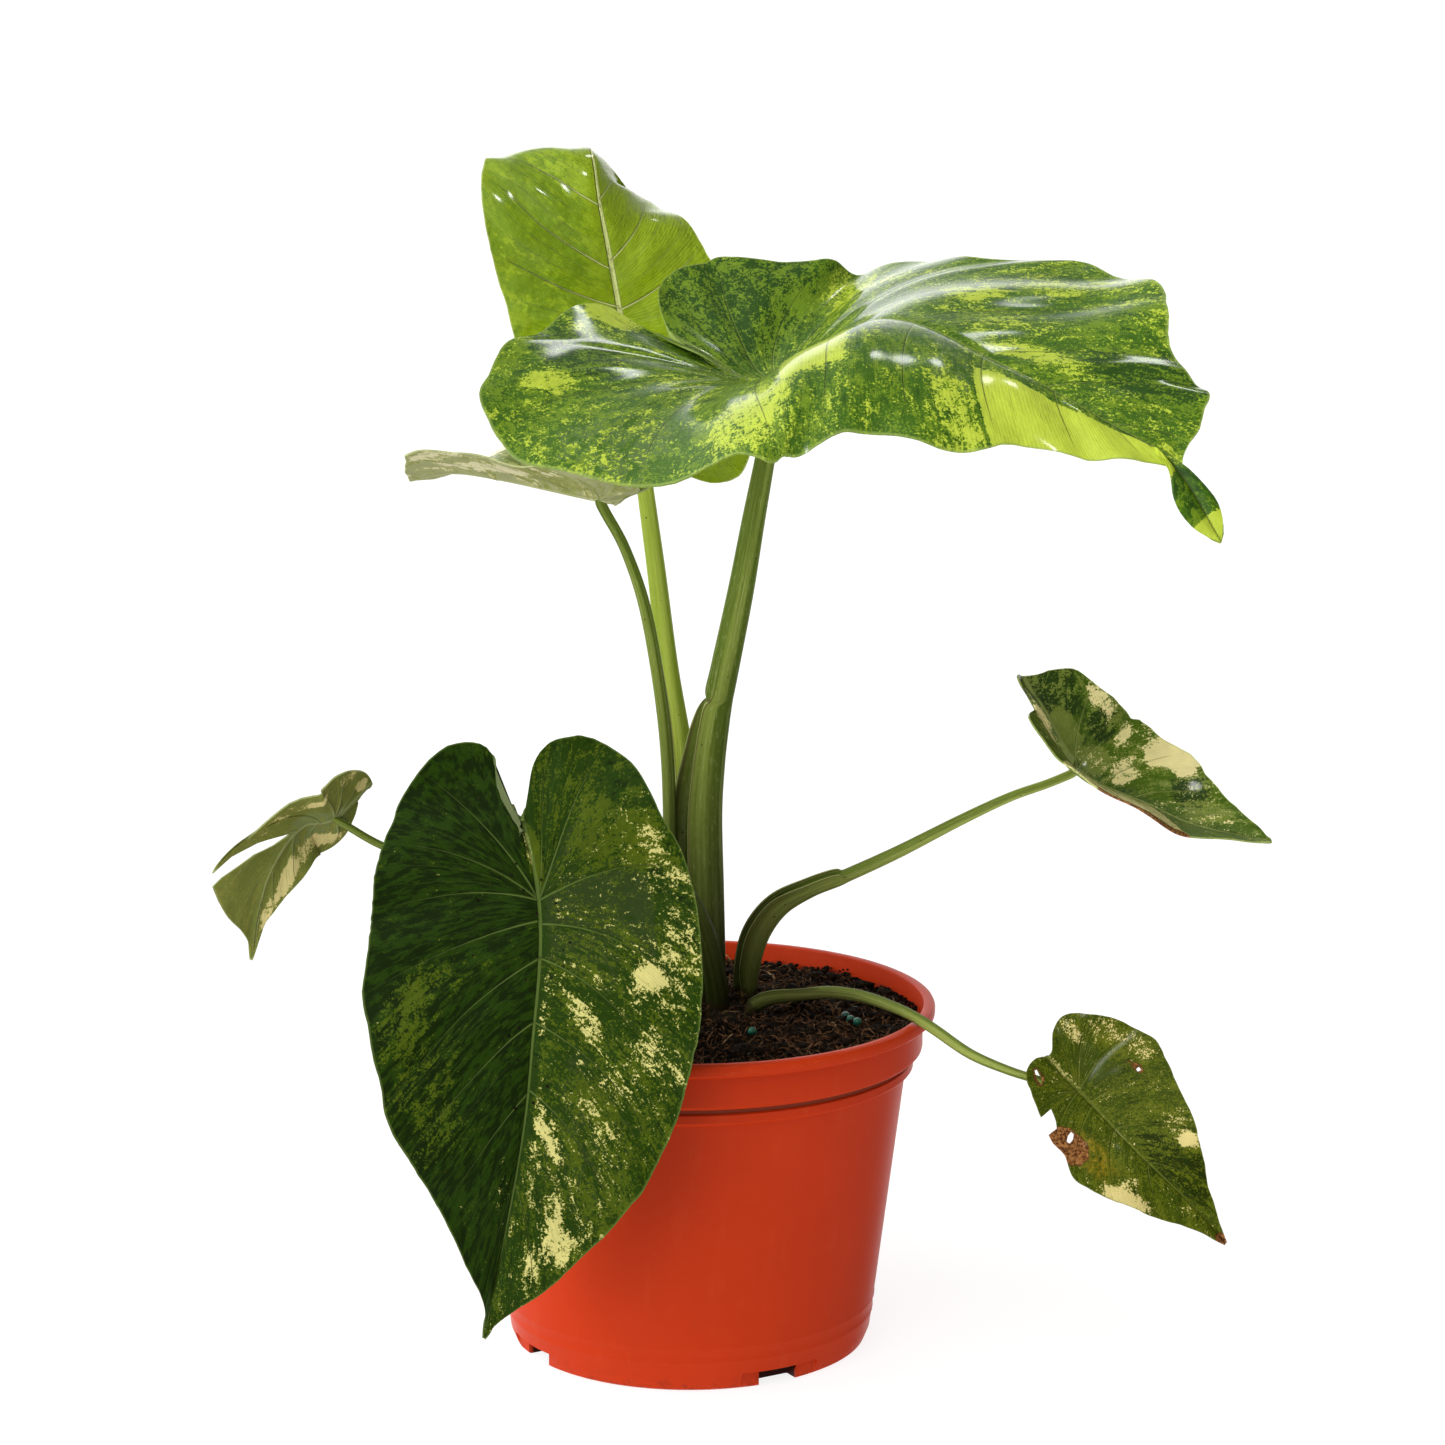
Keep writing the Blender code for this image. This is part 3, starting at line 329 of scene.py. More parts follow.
@dataclass(frozen=True)
class LeafFinish:
    """The colours and gloss of a variegated leaf.

    Cream or lime patches grow where the blade's CREAM marks are, yellow-green mottles where its
    PALE marks are, and the ground turns grey-green or dark where its TONE marks are; the
    grey-green is partly the leaf's own tone and partly a painted grey sheen. The levels say how
    readily each grows where nothing is marked, and lanes is how many streaks lie side by side
    between two veins. The weights are those of streaks along the veins, patches and specks.
    The length is from the joint to the tip, and the midrib is drawn thinner along it.
    """

    name: str
    dark: Colour = srgb(30, 62, 8)
    green: Colour = srgb(62, 98, 14)
    # The grey-green, partly the leaf's own tone and partly a painted grey sheen.
    grey: Colour = srgb(72, 98, 52)
    pale: Colour = srgb(128, 152, 34)
    cream: Colour = srgb(226, 218, 146)
    vein: Colour = srgb(120, 140, 60)
    vein_show: float = 0.4
    cream_level: float = -0.5
    pale_level: float = -0.3
    lanes: float = 9.0
    patch: float = 4.5
    fleck: float = 1.3
    weights: tuple = (1.3, 0.9, 0.9)
    length: float = 180.0
    tint: Colour = srgb(150, 160, 112)
    tint_share: float = 0.4
    roughness: float = 0.4
    specular: float = 0.12
    coat: float = 0.3
    relief: float = 0.22
    rib_width: float = 1.0
    yellowed: Colour = srgb(176, 140, 30)
    scorched: Colour = srgb(84, 56, 22)
    dead: Colour = srgb(78, 42, 18)
    dry: Colour = srgb(164, 112, 62)

    def build(self, face: Face, last: float) -> bpy.types.Material:
        """Makes the material.

        Args:
            face: The side of the blade that it is for.
            last: The tip's number among the veins.

        Returns:
            The material.
        """
        n = Nodes(f"{self.name}_{face.name.lower()}")
        across, along = n.layer("flat")
        run, vein = n.layer("vein")
        share, gap = n.layer("place")
        cream, tone = n.layer("marks")
        brown, halo = n.layer("spoil")
        pale, _ = n.layer("mottle")
        places = n.places()
        side = n.math("SIGN", across)
        cream_field, streak = self.field(n, cream, self.cream_level, run, vein, side, places, 0.0)
        pale_field, mottle = self.field(n, pale, self.pale_level, run, vein, side, places, 7.3)
        level = n.add(tone, n.times(streak, 0.9), n.times(mottle, 1.2))
        colour = n.mix(n.step(level, -0.1, -0.3), self.green, self.dark)
        # Grey-green where the level is high: partly the leaf's own tone, partly a painted grey
        # sheen.
        colour = n.mix(n.step(level, 0.25, 0.4), colour, self.grey)
        if face is Face.UNDER:
            colour = n.mix(self.tint_share, colour, self.tint)
        blend = n.mix(n.noise(places, 2.5, 4.0, 0.7), self.pale, self.green)
        colour = n.mix(n.step(pale_field, -0.02, 0.05), colour, blend)
        colour = n.tint(colour, self.pale, 0.75, cream_field, -0.1, -0.02)
        shaded = n.shade(self.cream, n.add(0.84, n.times(n.noise(places, 3.5, 5.0, 0.7), 0.28)))
        colour = n.mix(n.step(cream_field, 0.0, 0.05), colour, shaded)
        lines, relief = self.veins(n, across, along, vein, share, gap, last)
        colour = n.mix(n.times(lines, self.vein_show), colour, self.vein)
        colour = n.tint(colour, self.vein, 0.6, share, 0.985, 0.997)
        colour, dry = self.spoil(n, colour, brown, halo, places)
        colour = n.shade(colour, n.add(0.84, n.times(n.noise(places, 9.0, 4.0), 0.32)))
        sign = -1.0 if face is Face.UPPER else 1.0
        height = n.add(
            n.times(relief, sign), n.times(n.noise(places, 0.6, 2.0, 0.6), 0.2),
            n.times(streak, 1.0), n.times(n.noise(places, 9.0, 2.0, 0.5), 3.0),
            n.times(n.noise(places, 2.6, 2.0, 0.5), 0.8), n.times(dry, -0.6),
        )
        n.bump(height, self.relief)
        base = self.roughness if face is Face.UPPER else self.roughness + 0.2
        rough = n.add(base, n.times(n.noise(places, 3.0, 3.0), 0.1), n.times(dry, 0.35))
        coat = self.coat if face is Face.UPPER else 0.03
        return n.finish(
            colour, rough, Specular_IOR_Level=self.specular, Coat_Weight=coat, Coat_Roughness=0.12
        )

    def field(
        self, n: Nodes, mark: Socket, level: float, run: Socket, vein: Socket, side: Socket,
        places: Socket, shift: float,
    ) -> tuple[Socket, Socket]:
        """Returns a field that is over 0 inside the patches of one mark, and its streaks alone.

        Args:
            n: The material's nodes.
            mark: The blade's marks.
            level: What the field is on average where nothing is marked.
            run: Millimetres along the vein.
            vein: Place among the numbered veins.
            side: -1 on the left half and 1 on the right half.
            places: Places on the object in millimetres.
            shift: What sets this field's noise apart.

        Returns:
            The field, and the part of it that follows the veins.
        """
        depth = n.add(side, shift)
        lanes = n.vector(n.times(run, 0.17), n.times(vein, self.lanes), depth)
        groups = n.vector(n.times(run, 0.05), n.times(vein, self.lanes * 0.28), depth)
        moved = n.node("ShaderNodeVectorMath", operation="ADD")
        n.put(moved.inputs[0], places)
        moved.inputs[1].default_value = (shift * 11, 0, 0)
        streak = n.swing(lanes, 1.0, 6.0, 0.66, 0.4)
        group = n.swing(groups, 1.0, 3.0, 0.5)
        patch = n.swing(moved.outputs[0], self.patch, 7.0, 0.7, 0.3)
        speck = n.swing(moved.outputs[0], self.fleck, 4.0, 0.75)
        a, b, c = self.weights
        total = n.add(
            mark, level, n.times(streak, a), n.times(group, 0.7), n.times(patch, b),
            n.times(speck, c),
        )
        return total, streak

    def veins(
        self, n: Nodes, across: Socket, along: Socket, vein: Socket, share: Socket, gap: Socket,
        last: float,
    ) -> tuple[Socket, Socket]:
        """Draws the midrib, the numbered veins and the fine ones between them.

        Args:
            n: The material's nodes.
            across: Distance from the midrib in millimetres.
            along: Distance from the joint towards the tip in millimetres.
            vein: Place among the numbered veins.
            share: Share of the way from the midrib to the margin.
            gap: Millimetres from one numbered vein to the next, at this place.
            last: The tip's number.

        Returns:
            How strongly the veins show, and how high they stand.
        """
        inside = n.times(n.step(vein, 0.5, 0.9), n.step(vein, last - 0.3, last - 0.6))
        fade = n.times(n.step(share, 0.97, 0.72), inside)
        taper = n.add(0.5, n.times(share, -0.35))
        off = n.times(n.math("PINGPONG", vein, 0.5), gap)
        main = n.times(n.held(n.times(n.minus(taper, off), 1.0 / 0.3)), fade)
        off = n.times(n.times(n.math("PINGPONG", n.times(vein, 3.0), 0.5), gap), 1.0 / 3.0)
        thin = n.held(n.times(n.minus(0.22, off), 4.0))
        thin = n.times(thin, n.times(fade, n.step(share, 0.05, 0.3)))
        fine = n.math("PINGPONG", n.times(vein, 21.0), 0.5)
        reach = n.minus(1.0, n.times(along, 1.0 / self.length))
        wide = n.add(0.28, n.times(n.math("MAXIMUM", reach, 0.0), 0.6 * self.rib_width))
        rib = n.held(n.times(n.minus(wide, n.math("ABSOLUTE", across)), 3.0))
        show = n.math("MAXIMUM", rib, n.math("MAXIMUM", main, n.times(thin, 0.22)))
        relief = n.add(
            n.times(rib, 1.6), n.times(main, 1.3), n.times(thin, 0.5), n.times(fine, 0.3)
        )
        return show, relief

    def spoil(
        self, n: Nodes, colour: Socket, brown: Socket, halo: Socket, places: Socket
    ) -> tuple[Socket, Socket]:
        """Lays dead brown tissue and its yellow edge over the colour.

        Args:
            n: The material's nodes.
            colour: The healthy colour.
            brown: The blade's BROWN marks.
            halo: The blade's HALO marks.
            places: Places on the object in millimetres.

        Returns:
            The colour, and where the leaf is dry.
        """
        ragged = n.swing(places, 1.6, 4.0, 0.65)
        yellow = n.step(n.add(halo, n.times(ragged, 1.4)), 0.2, 0.95)
        edge = n.add(brown, n.times(ragged, 0.8))
        dry = n.step(edge, 0.42, 0.52)
        colour = n.mix(n.times(yellow, 0.7), colour, self.yellowed)
        colour = n.tint(colour, self.scorched, 0.8, edge, 0.28, 0.42)
        dead = n.mix(n.step(n.noise(places, 0.9, 5.0, 0.7), 0.4, 0.6), self.dead, self.dry)
        return n.mix(dry, colour, dead), dry


@dataclass(frozen=True)
class StalkFinish:
    """The ribbed green of a leaf stalk, with pale sheath edges and a dirty foot.

    Painted shade darkens it towards the foot: low is the share of its colour left there, and rise
    is the run over which it brightens back to full.
    """

    name: str
    light: Colour = srgb(140, 158, 72)
    dark: Colour = srgb(88, 110, 38)
    edge: Colour = srgb(186, 194, 124)
    flush: Colour = srgb(92, 70, 50)
    flush_share: float = 0.05
    # low and rise set the painted shade that darkens the stalk towards its foot.
    low: float = 0.06
    rise: tuple = (-20.0, 140.0)
    speck: Colour = srgb(52, 40, 20)
    soil: Colour = srgb(44, 32, 20)

    def build(self) -> bpy.types.Material:
        """Makes the material."""
        n = Nodes(self.name)
        around, run = n.layer("skin")
        edge, foot = n.layer("edge")
        places = n.places()
        turn = n.times(around, 2 * math.pi)
        x, y = n.math("COSINE", turn), n.math("SINE", turn)

        def ribs(count: float, pace: float) -> Socket:
            """Returns noise in stripes along the stalk."""
            stretched = n.vector(n.times(x, count), n.times(y, count), n.times(run, pace))
            return n.noise(stretched, 1.0, 3.0, 0.6)

        broad, fine, dash = ribs(1.1, 0.008), ribs(5.0, 0.012), ribs(9.0, 0.35)
        colour = n.mix(n.step(broad, 0.38, 0.62), self.dark, self.light)
        colour = n.tint(colour, self.dark, 0.45, fine, 0.5, 0.66)
        colour = n.tint(colour, self.edge, 0.35, fine, 0.46, 0.32)
        colour = n.tint(colour, self.edge, 0.35, dash, 0.56, 0.72)
        colour = n.tint(colour, self.dark, 0.35, dash, 0.44, 0.3)
        colour = n.tint(colour, self.flush, self.flush_share, ribs(0.8, 0.02), 0.5, 0.64)
        beside = n.times(n.step(edge, 0.05, 0.3), n.step(edge, 0.7, 0.45))
        colour = n.mix(n.times(beside, 0.6), colour, self.flush)
        colour = n.tint(colour, self.edge, 0.8, edge, 0.55, 0.9)
        # Painted shade: the colour darkens towards the foot, down to the share low.
        lit = n.step(run, *self.rise)
        colour = n.shade(colour, n.add(self.low, n.times(lit, 1.0 - self.low)))
        specks = n.step(n.cells(places, 3.6), 0.12, 0.06)
        chosen = n.step(n.noise(places, 7.0, 1.0), 0.52, 0.58)
        colour = n.mix(n.times(n.times(specks, chosen), 0.8), colour, self.speck)
        soil = n.step(n.add(foot, n.times(n.noise(places, 2.0, 4.0, 0.7), 0.8)), 0.75, 1.15)
        colour = n.mix(n.times(soil, 0.85), colour, self.soil)
        n.bump(n.add(n.times(fine, 1.6), n.times(broad, 1.0), n.times(dash, 0.3)), 0.2)
        rough = n.add(0.36, n.times(fine, 0.12), n.times(soil, 0.35))
        return n.finish(
            colour, rough, Specular_IOR_Level=0.03, Coat_Weight=0.02, Coat_Roughness=0.2
        )


@dataclass(frozen=True)
class PotFinish:
    """Red-orange moulded plastic, slightly satin, scuffed and soiled by the mix, with painted shade
    under its base.
    """

    plastic: Colour = srgb(196, 54, 14)
    worn: Colour = srgb(212, 90, 46)
    dirt: Colour = srgb(58, 40, 28)
    # Painted shade for the underside of the base.
    underside_shade: Colour = srgb(24, 10, 6)
    dust: Colour = srgb(150, 96, 70)

    def build(self) -> bpy.types.Material:
        """Makes the material."""
        n = Nodes("pot_plastic")
        places = n.places()
        x, y, z = n.split(places)
        radius = n.math("SQRT", n.add(n.times(x, x), n.times(y, y)))
        angle = n.math("ARCTAN2", y, x)
        cloud = n.noise(places, 30.0, 3.0)
        colour = n.shade(self.plastic, n.add(0.92, n.times(cloud, 0.16)))
        flow = n.noise(n.vector(n.times(angle, 60.0), n.times(z, 0.25), radius), 6.0, 3.0)
        colour = n.tint(colour, self.worn, 0.1, flow, 0.56, 0.75)
        lines = n.vector(n.times(angle, 30.0), n.times(z, 2.4), radius)
        scratch = n.noise(lines, 3.0, 5.0, 0.7, 1.5)
        edges = n.math("MAXIMUM", n.step(z, 104.5, 109.0), n.step(z, 5.5, 1.5))
        rub = n.times(n.step(scratch, 0.56, 0.7), n.add(0.08, n.times(edges, 0.4)))
        colour = n.mix(rub, colour, self.worn)
        inside, _ = n.layer("wall")
        smear = n.noise(n.vector(n.times(angle, 26.0), n.times(z, 0.9), 3.0), 7.0, 5.0, 0.72, 0.8)
        low = n.times(n.minus(110.0, z), 0.035)
        soiled = n.times(inside, n.step(n.add(smear, low), 0.66, 0.84))
        colour = n.mix(n.times(soiled, 0.75), colour, self.dirt)
        dusty = n.noise(places, 5.0, 5.0, 0.7)
        colour = n.tint(colour, self.dust, 0.16, dusty, 0.62, 0.76)
        pocket = n.times(n.step(z, 7.0, 0.5), n.step(n.noise(places, 2.6, 4.0, 0.7), 0.5, 0.66))
        colour = n.mix(n.times(pocket, 0.35), colour, self.dirt)
        # Painted shade: under the pot, inside about 54 mm and below about 6 mm, the plastic turns
        # almost black.
        deep = n.times(n.step(radius, 54.6, 53.4), n.step(z, 6.6, 5.6))
        colour = n.mix(n.times(deep, 0.95), colour, self.underside_shade)
        grain = n.noise(places, 0.32, 2.0, 0.6)
        n.bump(n.add(n.times(grain, 0.5), n.times(scratch, 0.5), n.times(soiled, 0.8)), 0.05)
        rough = n.add(0.4, n.times(cloud, 0.08), n.times(rub, 0.4), n.times(soiled, 0.3))
        return n.finish(colour, rough, Specular_IOR_Level=0.1)


@dataclass(frozen=True)
class EarthFinish:
    """Moist dark coir and peat."""

    name: str
    dark: Colour = srgb(2, 1, 1)
    light: Colour = srgb(54, 38, 24)
    grain: float = 1.6
    fibre: Colour = srgb(84, 58, 38)

    def build(self) -> bpy.types.Material:
        """Makes the material."""
        n = Nodes(self.name)
        places = n.places()
        crumb = n.noise(places, self.grain, 5.0, 0.7)
        thread = n.noise(places, self.grain * 0.35, 3.0, 0.6, 2.0)
        colour = n.mix(n.step(crumb, 0.44, 0.66), self.dark, self.light)
        colour = n.tint(colour, self.fibre, 0.3, thread, 0.6, 0.72)
        n.bump(n.add(crumb, n.times(thread, 0.4)), 1.0)
        rough = n.add(0.72, n.times(crumb, 0.3))
        return n.finish(colour, rough, Specular_IOR_Level=0.1)


@dataclass(frozen=True)
class FibreFinish:
    """Threads and scraps that lie in the mix, lighter and darker by place."""

    name: str
    dark: Colour
    light: Colour
    roughness: float = 0.7

    def build(self) -> bpy.types.Material:
        """Makes the material."""
        n = Nodes(self.name)
        places = n.places()
        colour = n.mix(n.step(n.noise(places, 2.4, 3.0, 0.6), 0.38, 0.62), self.dark, self.light)
        colour = n.tint(colour, self.dark, 0.4, n.noise(places, 0.5, 2.0), 0.5, 0.7)
        n.bump(n.noise(places, 0.3, 3.0, 0.6), 0.12)
        rough = n.add(self.roughness, n.times(n.noise(places, 1.0), 0.1))
        return n.finish(colour, rough, Specular_IOR_Level=0.1)


@dataclass(frozen=True)
class PrillFinish:
    """The smooth coat of a fertiliser prill, a little uneven and dusty."""

    coat: Colour = srgb(24, 112, 84)
    deep: Colour = srgb(12, 74, 62)
    dust: Colour = srgb(96, 92, 70)

    def build(self) -> bpy.types.Material:
        """Makes the material."""
        n = Nodes("prill_coat")
        places = n.places()
        colour = n.mix(n.step(n.noise(places, 1.2, 3.0), 0.38, 0.62), self.deep, self.coat)
        dust = n.step(n.noise(places, 0.5, 4.0, 0.7), 0.6, 0.75)
        colour = n.mix(n.times(dust, 0.4), colour, self.dust)
        n.bump(n.noise(places, 0.7, 3.0), 0.12)
        return n.finish(colour, n.add(0.34, n.times(dust, 0.3)), Coat_Weight=0.3)


@dataclass(frozen=True)
class FloorFinish:
    """A plain pale floor, very slightly uneven. It glows, so that its shadows are faint."""

    paper: Colour = srgb(137, 137, 137)
    glow: float = 0.86

    def build(self) -> bpy.types.Material:
        """Makes the material."""
        n = Nodes("floor_paper")
        uneven = n.times(n.noise(n.places(), 400.0), 0.02)
        colour = n.shade(self.paper, n.add(0.98, uneven))
        return n.finish(colour, 0.85, Specular_IOR_Level=0.0, Emission_Strength=self.glow)


def noise_at(x: float, y: float, z: float) -> float:
    """Returns smooth noise from -1 to 1 at a place."""
    return noise.noise(Vector((x, y, z)))


def add_lump(
    bm: bmesh.types.BMesh, size: float, detail: int, uneven: float, pitch: float, seed: tuple
) -> list[bmesh.types.BMVert]:
    """Adds an uneven ball at the origin.

    Args:
        bm: The mesh to add to.
        size: Its radius.
        detail: How often it is subdivided.
        uneven: How far its surface leaves the ball, as a share of the radius.
        pitch: How fast the noise changes with each millimetre.
        seed: Where in the noise it lies.

    Returns:
        Its vertices.
    """
    verts = bmesh.ops.create_icosphere(bm, subdivisions=detail, radius=size)["verts"]
    for v in verts:
        v.co *= 1 + uneven * noise.noise(v.co * pitch + Vector(seed))
    return verts


def rings(rows: list, steps: int) -> np.ndarray:
    """Makes level rings of points.

    Args:
        rows: For each ring its centre's x and y, its radius and its height.
        steps: How many points each has.

    Returns:
        The points ring by ring, each with its first point again at the end.
    """
    turn = 2 * math.pi * np.arange(steps + 1) / steps
    x, y, radius, height = np.array(rows, float).T[..., None]
    ends = (x + radius * np.cos(turn), y + radius * np.sin(turn), height)
    return np.stack(np.broadcast_arrays(*ends), axis=-1)


def add_piece(
    bm: bmesh.types.BMesh, name: str, materials: list[bpy.types.Material], sharp: float = 40.0
) -> bpy.types.Object:
    """Turns a bmesh in millimetres into an object in metres.

    Args:
        bm: The mesh, which is freed.
        name: The object's name.
        materials: Its materials.
        sharp: The angle in degrees past which an edge stays sharp.

    Returns:
        The object.
    """
    bmesh.ops.scale(bm, vec=(MM, MM, MM), verts=bm.verts)
    mesh = bpy.data.meshes.new(name)
    bm.to_mesh(mesh)
    bm.free()
    mesh.shade_smooth()
    mesh.set_sharp_from_angle(angle=math.radians(sharp))
    for material in materials:
        mesh.materials.append(material)
    made = bpy.data.objects.new(name, mesh)
    bpy.context.collection.objects.link(made)
    return made


def apply_modifiers(piece: bpy.types.Object, cutters: list[bpy.types.Object], sharp: float) -> None:
    """Cuts a piece, makes all its modifiers part of its mesh and removes the cutters.

    Args:
        piece: The piece.
        cutters: The objects whose shapes are cut out of it.
        sharp: The angle in degrees past which an edge stays sharp.
    """
    for cutter in cutters:
        cut = piece.modifiers.new(cutter.name, "BOOLEAN")
        cut.operation = "DIFFERENCE"
        cut.solver = "EXACT"
        cut.object = cutter
    graph = bpy.context.evaluated_depsgraph_get()
    mesh = bpy.data.meshes.new_from_object(piece.evaluated_get(graph))
    piece.modifiers.clear()
    piece.data = mesh
    mesh.shade_smooth()
    mesh.set_sharp_from_angle(angle=math.radians(sharp))
    for cutter in cutters:
        bpy.data.objects.remove(cutter)


def attach(piece: bpy.types.Object, slot: str, *nodes: str) -> None:
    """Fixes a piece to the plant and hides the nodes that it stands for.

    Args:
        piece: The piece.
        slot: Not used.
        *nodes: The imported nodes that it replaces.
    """
    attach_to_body(piece, BODY)
    if nodes:
        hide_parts(*nodes)
    LOG.info("%s: %d faces", piece.name, len(piece.data.polygons))


def placed_grid(
    bm: bmesh.types.BMesh, places: np.ndarray, layers: dict[str, np.ndarray] | None = None
) -> dict[bmesh.types.BMVert, tuple[int, int]]:
    """Adds a grid whose vertices go to the given places.

    Args:
        bm: The mesh to add to.
        places: The places, as rows of columns of points.
        layers: For each UV map its two values at each vertex.

    Returns:
        The row and the column of each vertex.
    """
    rows, columns = places.shape[0] - 1, places.shape[1] - 1
    verts = bmesh.ops.create_grid(bm, x_segments=columns, y_segments=rows, size=0.5)["verts"]
    index = {}
    for v in verts:
        at = (round((v.co.y + 0.5) * rows), round((v.co.x + 0.5) * columns))
        index[v] = at
        v.co = Vector(places[at])
    if layers:
        maps = {
            name: bm.loops.layers.uv.get(name) or bm.loops.layers.uv.new(name) for name in layers
        }
        for face in {f for v in verts for f in v.link_faces}:
            for loop in face.loops:
                at = index[loop.vert]
                for name, values in layers.items():
                    loop[maps[name]].uv = values[at]
    return index


@dataclass(frozen=True)
class Spot:
    """An oval mark on a blade: its kind, place, half sizes along and across, turn and amount."""

    mark: Mark
    at: tuple[float, float]
    size: tuple[float, float]
    turn: float
    amount: float

    def strength(self, grid: "HalfGrid") -> np.ndarray:
        """Returns the mark's strength at each vertex of a half."""
        turn = math.radians(self.turn)
        dx, dy = grid.across - self.at[0], grid.along - self.at[1]
        ahead = dy * math.cos(turn) + dx * math.sin(turn)
        aside = dx * math.cos(turn) - dy * math.sin(turn)
        far = np.sqrt((ahead / self.size[0]) ** 2 + (aside / self.size[1]) ** 2)
        return self.amount * np.clip(2.0 * (1 - far), 0, 1)


@dataclass(frozen=True)
class Sector:
    """A mark between two veins of one half: from vein to vein and from share to share."""

    mark: Mark
    half: Half
    veins: tuple[float, float]
    shares: tuple[float, float]
    amount: float

    def strength(self, grid: "HalfGrid") -> np.ndarray:
        """Returns the mark's strength at each vertex of a half."""
        if grid.half is not self.half:
            return np.zeros_like(grid.across)
        inside = np.minimum(grid.vein - self.veins[0], self.veins[1] - grid.vein) * 16.0
        reach = np.minimum(grid.share - self.shares[0], self.shares[1] - grid.share) * 14.0
        return self.amount * np.clip(inside, 0, 1) * np.clip(reach + 0.5, 0, 1)


def spots(mark: Mark, *rows: tuple) -> list[Spot]:
    """Makes oval marks of one kind.

    Args:
        mark: Their kind.
        *rows: For each across, along, the half sizes along and across, the turn and the amount.

    Returns:
        The marks.
    """
    return [Spot(mark, row[:2], row[2:4], *row[4:]) for row in rows]


def sectors(mark: Mark, half: Half, *rows: tuple) -> list[Sector]:
    """Makes marks of one kind between the veins of one half.

    Args:
        mark: Their kind.
        half: The half.
        *rows: For each the two veins, the two shares and the amount.

    Returns:
        The marks.
    """
    return [Sector(mark, half, row[:2], row[2:4], row[4]) for row in rows]


@dataclass
class HalfGrid:
    """The vertices of one half of a blade in its flat outline and their places among the veins."""

    half: Half
    across: np.ndarray
    along: np.ndarray
    share: np.ndarray
    vein: np.ndarray
    gap: np.ndarray
    run: np.ndarray


